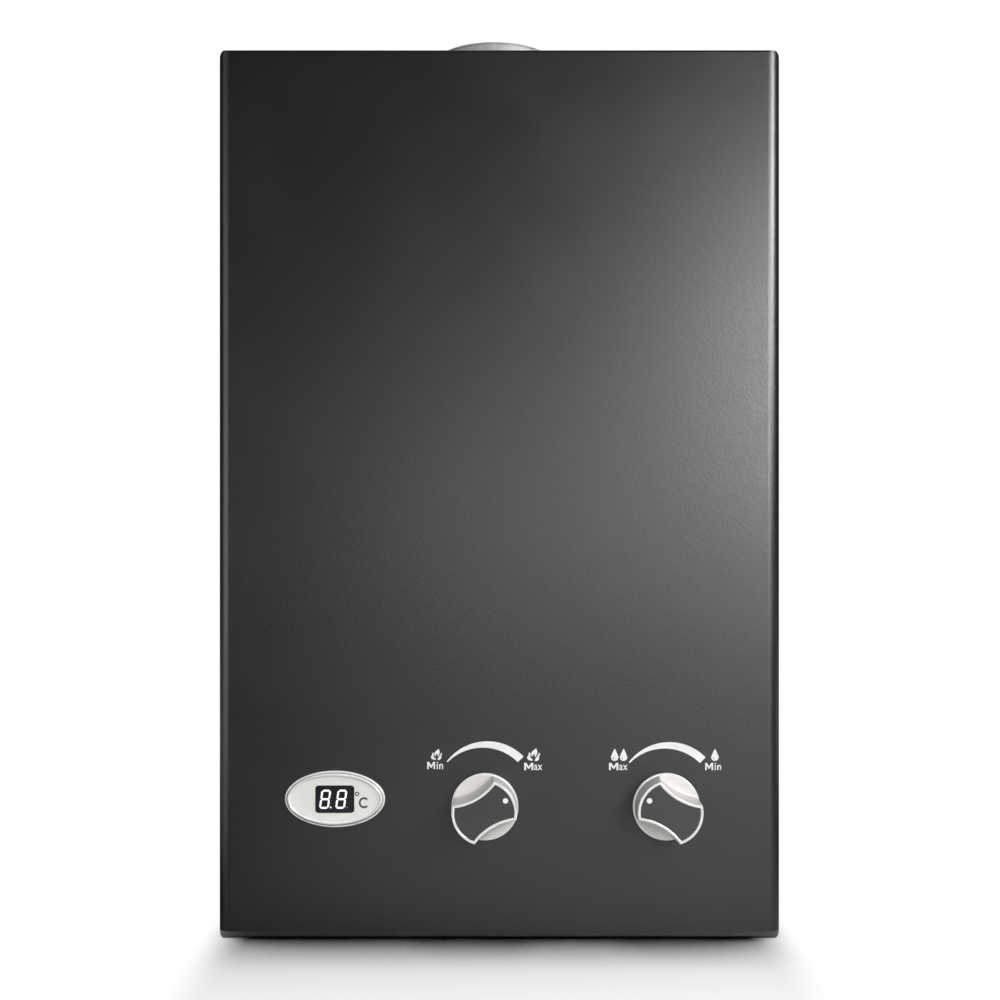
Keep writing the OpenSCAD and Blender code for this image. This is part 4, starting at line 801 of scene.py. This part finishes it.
class HEATER_OT_stubs(bpy.types.Operator):
    """Cuts the threads of the three pipe stubs"""
    bl_idname = "heater.stubs"
    bl_label = "Pipe stubs"

    def execute(self, context):
        for node in ("gas_inlet_stub", "cold_inlet_stub", "hot_outlet_stub"):
            low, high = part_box(node)
            bm = stub_mesh(context.scene.heater_pipe, low.z, high.z)
            middle = (low + high) / 2
            bmesh.ops.translate(bm, vec=(middle.x, middle.y, 0), verts=bm.verts)
            add_piece(node + "_threaded", bm, ("Brass",), "casing", (node,))
        return {"FINISHED"}


def joined(bm, part, place):
    """Adds a finished part to a mesh at a place."""
    bmesh.ops.transform(part, matrix=place, verts=part.verts)
    mesh = mesh_of("part", part)
    bm.from_mesh(mesh)
    bpy.data.meshes.remove(mesh)


PAN_HEAD = ((0.5, 1.0), (0.62, 1.0), (0.82, 0.9), (0.96, 0.6), (1.0, 0.15), (1.0, 0.0))
CROSS_WIDTH, CROSS_DEPTH, CROSS_TAPER = 0.1, 0.55, 0.8
SIDE_SCREW, SIDE_SCREW_Y, SIDE_SCREW_Z, SIDE_SCREW_DROP = (0.0036, 0.0018, 0.002, 0.006), 0.078, 0.062, 0.06
COLLAR_SCREW, COLLAR_SCREW_REACH = (0.003, 0.001, 0.0015, 0.006), 0.047


def add_screw(bm, head, dome, shank, length, place):
    """A pan-head screw with a cross recess, seated at local z = 0."""
    part = bmesh.new()
    half = CROSS_WIDTH * head
    bmesh.ops.create_circle(part, cap_ends=True, segments=32, radius=PAN_HEAD[0][0] * head,
        matrix=Matrix.Translation((0, 0, dome)))
    for axis in (Vector((1, 0, 0)), Vector((0, 1, 0))):
        for side in (-half, half):
            bmesh.ops.bisect_plane(part, geom=part.verts[:] + part.edges[:] + part.faces[:], dist=WELD / 10,
                plane_co=axis * side, plane_no=axis)
    rim = [e for e in part.edges if e.is_boundary]
    middles = [(f, f.calc_center_median()) for f in part.faces]
    cross = [f for f, c in middles if min(abs(c.x), abs(c.y)) < half]
    sunk = of_kind(bmesh.ops.extrude_face_region(part, geom=cross)["geom"], BMVert)
    bmesh.ops.translate(part, vec=(0, 0, -CROSS_DEPTH * dome), verts=sunk)
    bmesh.ops.scale(part, vec=(CROSS_TAPER, CROSS_TAPER, 1.0), verts=sunk)
    profile = [(r * head, h * dome) for r, h in PAN_HEAD]
    profile += [(shank, 0.0), (shank, shank / 2 - length), (0.6 * shank, -length)]
    bmesh.ops.edgeloop_fill(part, edges=drawn(part, rim, [(r, r, h) for r, h in profile]))
    joined(bm, part, place)


class HEATER_OT_screws(bpy.types.Operator):
    """Models the cover's side screws and the collar's screws"""
    bl_idname = "heater.screws"
    bl_label = "Casing screws"

    def execute(self, context):
        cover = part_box("front_cover")[1]
        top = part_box("top_panel")[1].z
        collar = sum(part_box("flue_collar"), Vector()) / 2
        bm = bmesh.new()
        for turn in (-1, 1):
            for z in (SIDE_SCREW_Z, cover.z - SIDE_SCREW_DROP):
                add_screw(bm, *SIDE_SCREW, Matrix.Translation((turn * cover.x, SIDE_SCREW_Y, z))
                    @ Matrix.Rotation(turn * math.pi / 2, 4, "Y"))
        for k in range(4):
            turn = Matrix.Rotation(math.radians(45 + 90 * k), 4, "Z")
            reach = turn @ Vector((COLLAR_SCREW_REACH, 0, 0))
            add_screw(bm, *COLLAR_SCREW,
                Matrix.Translation((collar.x + reach.x, collar.y + reach.y, top)) @ turn)
        add_piece("casing_screws_cross", bm, ("Turned steel",), "casing", ("casing_screws",))
        return {"FINISHED"}


COIL_RADIUS, WIRE_RADIUS, COIL_TURNS, COIL_STEPS = 0.005, 0.0006, 6, 24
DIAPHRAGM_RISE = ((2.8, 0), (15.0, 0), (15.9, 1.1), (17.0, 1.9), (18.25, 2.2), (19.5, 1.9), (20.6, 1.1), (21.5, 0),
    (23.6, 0))
DIAPHRAGM_HALF = 0.75


class HEATER_OT_linkage(bpy.types.Operator):
    """Winds the linkage's spring and moulds the diaphragm"""
    bl_idname = "heater.linkage"
    bl_label = "Spring and diaphragm"

    def execute(self, context):
        low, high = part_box("linkage_spring")
        middle = (low + high) / 2
        lead = (high.x - low.x - 2 * WIRE_RADIUS) / COIL_TURNS
        bm = bmesh.new()
        ring = Matrix.Translation((COIL_RADIUS, 0, 0)) @ Matrix.Rotation(math.pi / 2, 4, "X")
        verts = bmesh.ops.create_circle(bm, segments=10, radius=WIRE_RADIUS, matrix=ring)["verts"]
        bmesh.ops.spin(bm, geom=verts + bm.edges[:], cent=(0, 0, 0), axis=(0, 0, 1),
            angle=2 * math.pi * COIL_TURNS, dvec=(0, 0, lead / COIL_STEPS), steps=COIL_STEPS * COIL_TURNS)
        bmesh.ops.holes_fill(bm, edges=[e for e in bm.edges if e.is_boundary])
        along = Matrix.Rotation(math.pi / 2, 4, "Y")
        bmesh.ops.transform(bm, matrix=Matrix.Translation((low.x + WIRE_RADIUS, middle.y, middle.z)) @ along,
            verts=bm.verts)
        spring = add_piece("linkage_coil", bm, ("Spring strip",), "casing", ("linkage_spring",))
        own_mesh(spring)

        low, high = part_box("diaphragm")
        middle = (low + high) / 2
        profile = [(r, h + DIAPHRAGM_HALF) for r, h in DIAPHRAGM_RISE]
        profile += [(r, h - DIAPHRAGM_HALF) for r, h in reversed(DIAPHRAGM_RISE)]
        profile = [(r * MM, h * MM) for r, h in profile + profile[:1]]
        bm = bmesh.new()
        turned(bm, profile, 64, Matrix.Translation(middle) @ Matrix.Rotation(-math.pi / 2, 4, "Y"))
        add_piece("diaphragm_moulded", bm, ("Black rubber",), "casing", ("diaphragm",))
        return {"FINISHED"}


CLOTH_TONE, PATCH_CORE = 0.012, 0.2
# Reach and darkest value of the floor's painted contact shadow, and how soon the floor turns white away from the
# object.
FLOOR_TONE, CONTACT_REACH, CONTACT_DARKEST = 0.86, 0.07, 0.5
FLOOR_FADE, SIDE_INSET, SIDE_HASTE = 0.2, 0.02, 6.5


def bare_tree(owner):
    """The emptied node tree of a material or a world."""
    owner.use_nodes = True
    owner.node_tree.nodes.clear()
    return owner.node_tree


def blended(tree, share, first, second):
    """A mix of two shaders."""
    return put(tree, "ShaderNodeMixShader", [(0, share), (1, first), (2, second)]).outputs[0]


def seen(tree):
    """1 for what the camera, a reflection or glass sees, and 0 for light that is scattered."""
    path = put(tree, "ShaderNodeLightPath").outputs
    direct = maths(tree, "MAXIMUM", path["Is Camera Ray"], path["Is Glossy Ray"])
    return maths(tree, "MAXIMUM", direct, path["Is Transmission Ray"])


def make_world(ambient):
    """A white surround with dimmer scattered light."""
    world = bpy.data.worlds.new("Studio")
    bpy.context.scene.world = world
    tree = bare_tree(world)
    room, white = [put(tree, "ShaderNodeBackground", [("Color", (1, 1, 1, 1)), ("Strength", light)]).outputs[0]
        for light in (ambient, 1.0)]
    put(tree, "ShaderNodeOutputWorld", [("Surface", blended(tree, seen(tree), room, white))])


def floor_finish(glow):
    """Pale floor with the object's contact shade, which goes over to white away from the object."""
    material = bpy.data.materials.new("Studio floor")
    tree = bare_tree(material)
    # Painted contact shadow: an ambient occlusion node darkens the floor's colour and its own glow near the object.
    hidden = put(tree, "ShaderNodeAmbientOcclusion", [("Distance", CONTACT_REACH)], samples=8).outputs["AO"]
    shade = put(tree, "ShaderNodeMapRange", [("Value", hidden), ("From Min", CONTACT_DARKEST)]).outputs[0]
    camera_ray = put(tree, "ShaderNodeLightPath").outputs["Is Camera Ray"]
    near = maths(tree, "MULTIPLY", maths(tree, "MULTIPLY", camera_ray, glow), shade)
    paint = put(tree, "ShaderNodeBsdfPrincipled", [("Base Color", maths(tree, "MULTIPLY", shade, FLOOR_TONE)),
        ("Roughness", 0.3), ("Specular IOR Level", 0.2)])
    lift = put(tree, "ShaderNodeEmission", [("Strength", near)])
    lit = put(tree, "ShaderNodeAddShader", [(0, paint.outputs[0]), (1, lift.outputs[0])]).outputs[0]
    white = put(tree, "ShaderNodeEmission", [("Strength", seen(tree))]).outputs[0]
    # Painted light: the floor turns to plain white with distance from the object's footprint, sooner at the sides,
    # covering the object's shadow there.
    low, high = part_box("front_cover")
    middle, half = (low + high) / 2, (high - low) / 2
    off = vectors(tree, "SUBTRACT", own_coords(tree), (middle.x, middle.y, 0))
    off = vectors(tree, "SUBTRACT", vectors(tree, "ABSOLUTE", off), (half.x - SIDE_INSET, half.y, 0))
    off = vectors(tree, "MULTIPLY", vectors(tree, "MAXIMUM", off, (0, 0, 0)), (SIDE_HASTE, 1, 0))
    spread = blended(tree, eased(tree, length_of(tree, off), 0.0, FLOOR_FADE), lit, white)
    back = put(tree, "ShaderNodeNewGeometry").outputs["Backfacing"]
    clear = put(tree, "ShaderNodeBsdfTransparent").outputs[0]
    put(tree, "ShaderNodeOutputMaterial", [("Surface", blended(tree, back, spread, clear))])
    return material


def card_finish(name, glow, reach):
    """Black cloth of a card that shades reflections, pale in the middle if it glows and clear from behind."""
    tree = bare_tree(bpy.data.materials.new(name))
    tone = eased(tree, length_of(tree, own_coords(tree)), PATCH_CORE, reach, glow, CLOTH_TONE)
    dark = put(tree, "ShaderNodeEmission", [("Color", tone)]).outputs[0]
    clear = put(tree, "ShaderNodeBsdfTransparent").outputs[0]
    aimed_side = put(tree, "ShaderNodeNewGeometry").outputs["Backfacing"]
    put(tree, "ShaderNodeOutputMaterial", [("Surface", blended(tree, aimed_side, clear, dark))])


def sheet(name, size, finish):
    """A flat mesh with a width, a length and a finish."""
    bm = bmesh.new()
    bmesh.ops.create_grid(bm, x_segments=1, y_segments=1, size=0.5, matrix=Matrix.Diagonal((*size, 1, 1)))
    mesh = mesh_of(name, bm)
    mesh.materials.append(finish)
    return mesh


def aimed(name, data, place, aim):
    """An object at a place that faces a point."""
    thing = bpy.data.objects.new(name, data)
    bpy.context.scene.collection.objects.link(thing)
    thing.location = place
    thing.rotation_euler = (Vector(aim) - Vector(place)).to_track_quat("-Z", "Y").to_euler()
    return thing


def add_lamp(name, place, aim, size, power):
    """A soft box that the camera doesn't see."""
    lamp = bpy.data.lights.new(name, "AREA")
    lamp.shape = "RECTANGLE"
    lamp.size, lamp.size_y = size
    lamp.energy = power
    made = aimed(name, lamp, place, aim)
    made.visible_camera = False
    return made


def round_about(turn, rise, reach=1.2):
    """A place round the cover, turned to the right of the camera's line and raised by angles in degrees."""
    turn, rise = math.radians(turn), math.radians(rise)
    way = Vector((math.sin(turn) * math.cos(rise), -math.cos(turn) * math.cos(rise), math.sin(rise)))
    return Vector(FACE_MIDDLE) + reach * way


def add_card(name, place, aim, size, finish="Black cloth"):
    """A card that only reflections see."""
    card = aimed(name, sheet(name, size, bpy.data.materials[finish]), place, aim)
    card.visible_camera = False
    card.visible_diffuse = False
    card.visible_shadow = False
    card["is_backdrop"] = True


SOFT_BOX = (
    ("key_lamp", 25, 11, (0.26, 0.3), 1.0),
    ("side_lamp", 44, 18, (0.4, 0.34), 0.78),
    ("edge_lamp", 58, 22, (0.36, 0.34), 1.3),
    ("low_lamp", 26, -7, (0.5, 0.22), 0.14),
    ("centre_lamp", 0, 0, (0.5, 0.3), 0.2),
    ("fill_lamp", -56, -5, (0.6, 0.6), 0.22),
)
CARDS = (
    ("front_card", (0.7, -1.8, 1.1), (0.7, 0.0, 1.1), (4.0, 2.2)),
    ("right_card", (2.4, -0.3, 1.1), (0.0, -0.3, 1.1), (3.2, 2.2)),
    ("left_card", (-1.7, 0.0, 1.1), (0.0, 0.0, 1.1), (0.7, 2.2)),
    ("roof_card", (0.2, -0.75, 1.25), (0.2, -0.75, 0.0), (4.4, 2.1)),
    ("floor_card", (0.4, -1.02, 0.002), (0.4, -1.02, 1.0), (3.4, 1.8)),
    ("left_rear_card", (-1.0, 0.95, 0.8), (-0.1, 0.0, 0.8), (2.0, 2.4)),
    ("right_rear_card", (1.0, 0.95, 0.8), (0.1, 0.0, 0.8), (2.0, 2.4)),
    ("left_slim_card", (-0.23, 0.3, 0.6), (-0.16, -0.1, 0.6), (0.22, 1.2)),
    ("right_slim_card", (0.23, 0.3, 0.6), (0.16, -0.1, 0.6), (0.22, 1.2)),
    ("left_floor_card", (-0.48, 0.38, 0.002), (-0.48, 0.38, 1.0), (0.6, 0.85)),
    ("right_floor_card", (0.48, 0.38, 0.002), (0.48, 0.38, 1.0), (0.6, 0.85)),
)
PATCHES = (("floor_patch", 0.15, -0.42), ("left_patch", -0.75, -0.3))
PATCH_SIZE, PATCH_LEVEL, PATCH_REACH = (1.1, 1.1), 0.004, 0.55
PLAIN_LAMPS = (
    ("top_lamp", (0.0, -0.25, 1.7), (0.0, 0.0, 0.0), (1.8, 1.4), "top", False),
    ("front_lamp", (-0.1, -1.3, 0.45), (0.0, 0.0, 0.2), (0.7, 0.7), "front", False),
    ("under_lamp", (0.0, 0.012, 0.003), (0.0, 0.012, 1.0), (0.28, 0.11), "under", True),
)
FLOOR_SIZE, FLOOR_GAP = (12.0, 12.0), 0.0002
SENSOR_WIDTH = 36.0


class HEATER_OT_stage(bpy.types.Operator):
    """Sets the floor, the lights and the camera"""
    bl_idname = "heater.stage"
    bl_label = "Stage"

    def execute(self, context):
        stage = context.scene.heater_stage
        context.scene.view_settings.view_transform = "Standard"
        make_world(stage.ambient)
        mesh = sheet("studio_floor", FLOOR_SIZE, floor_finish(stage.floor_glow))
        floor = bpy.data.objects.new("studio_floor", mesh)
        context.scene.collection.objects.link(floor)
        floor.location.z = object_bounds()[0].z - FLOOR_GAP
        floor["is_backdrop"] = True
        card_finish("Black cloth", CLOTH_TONE, 1.0)
        card_finish("Pale cloth", stage.patch, PATCH_REACH)
        for name, turn, rise, size, share in SOFT_BOX:
            add_lamp(name, round_about(turn, rise), FACE_MIDDLE, size, stage.power * share)
        bpy.data.objects["key_lamp"].visible_diffuse = False
        for name, place, aim, size, setting, mirrored in PLAIN_LAMPS:
            add_lamp(name, place, aim, size, getattr(stage, setting)).visible_glossy = mirrored
        for name, place, aim, size in CARDS:
            add_card(name, place, aim, size)
        for name, x, y in PATCHES:
            add_card(name, (x, y, PATCH_LEVEL), (x, y, 1.0), PATCH_SIZE, "Pale cloth")

        camera = bpy.data.cameras.new("camera")
        camera.lens = stage.lens
        camera.sensor_width = SENSOR_WIDTH
        camera.shift_x, camera.shift_y = stage.shift
        camera.clip_start = 0.05
        eye = (stage.eye[0], FRONT_Y - stage.distance, stage.eye[1])
        context.scene.camera = aimed("camera", camera, eye, (eye[0], 0.0, eye[2]))
        return {"FINISHED"}


class HEATER_PT_panel(bpy.types.Panel):
    """Steps that dress the heater"""
    bl_idname = "HEATER_PT_panel"
    bl_label = "Gas water heater"
    bl_space_type = "VIEW_3D"
    bl_region_type = "UI"
    bl_category = "Heater"

    def draw(self, context):
        for step in STEPS:
            self.layout.operator(step.bl_idname)


STEPS = (HEATER_OT_finishes, HEATER_OT_knobs, HEATER_OT_display, HEATER_OT_scales, HEATER_OT_stubs,
    HEATER_OT_screws, HEATER_OT_linkage, HEATER_OT_stage)
SETTINGS = {"heater_finish": HeaterFinishSettings, "heater_knob": HeaterKnobSettings,
    "heater_display": HeaterDisplaySettings, "heater_print": HeaterPrintSettings,
    "heater_pipe": HeaterPipeSettings, "heater_stage": HeaterStageSettings}


def register():
    for made in (*SETTINGS.values(), *STEPS, HEATER_PT_panel):
        bpy.utils.register_class(made)
    for name, made in SETTINGS.items():
        setattr(bpy.types.Scene, name, PointerProperty(type=made))


def unregister():
    for name in SETTINGS:
        delattr(bpy.types.Scene, name)
    for made in reversed((*SETTINGS.values(), *STEPS, HEATER_PT_panel)):
        bpy.utils.unregister_class(made)


def main():
    register()
    for step in STEPS:
        group, name = step.bl_idname.split(".")
        getattr(getattr(bpy.ops, group), name)()


if __name__ == "__main__":
    main()
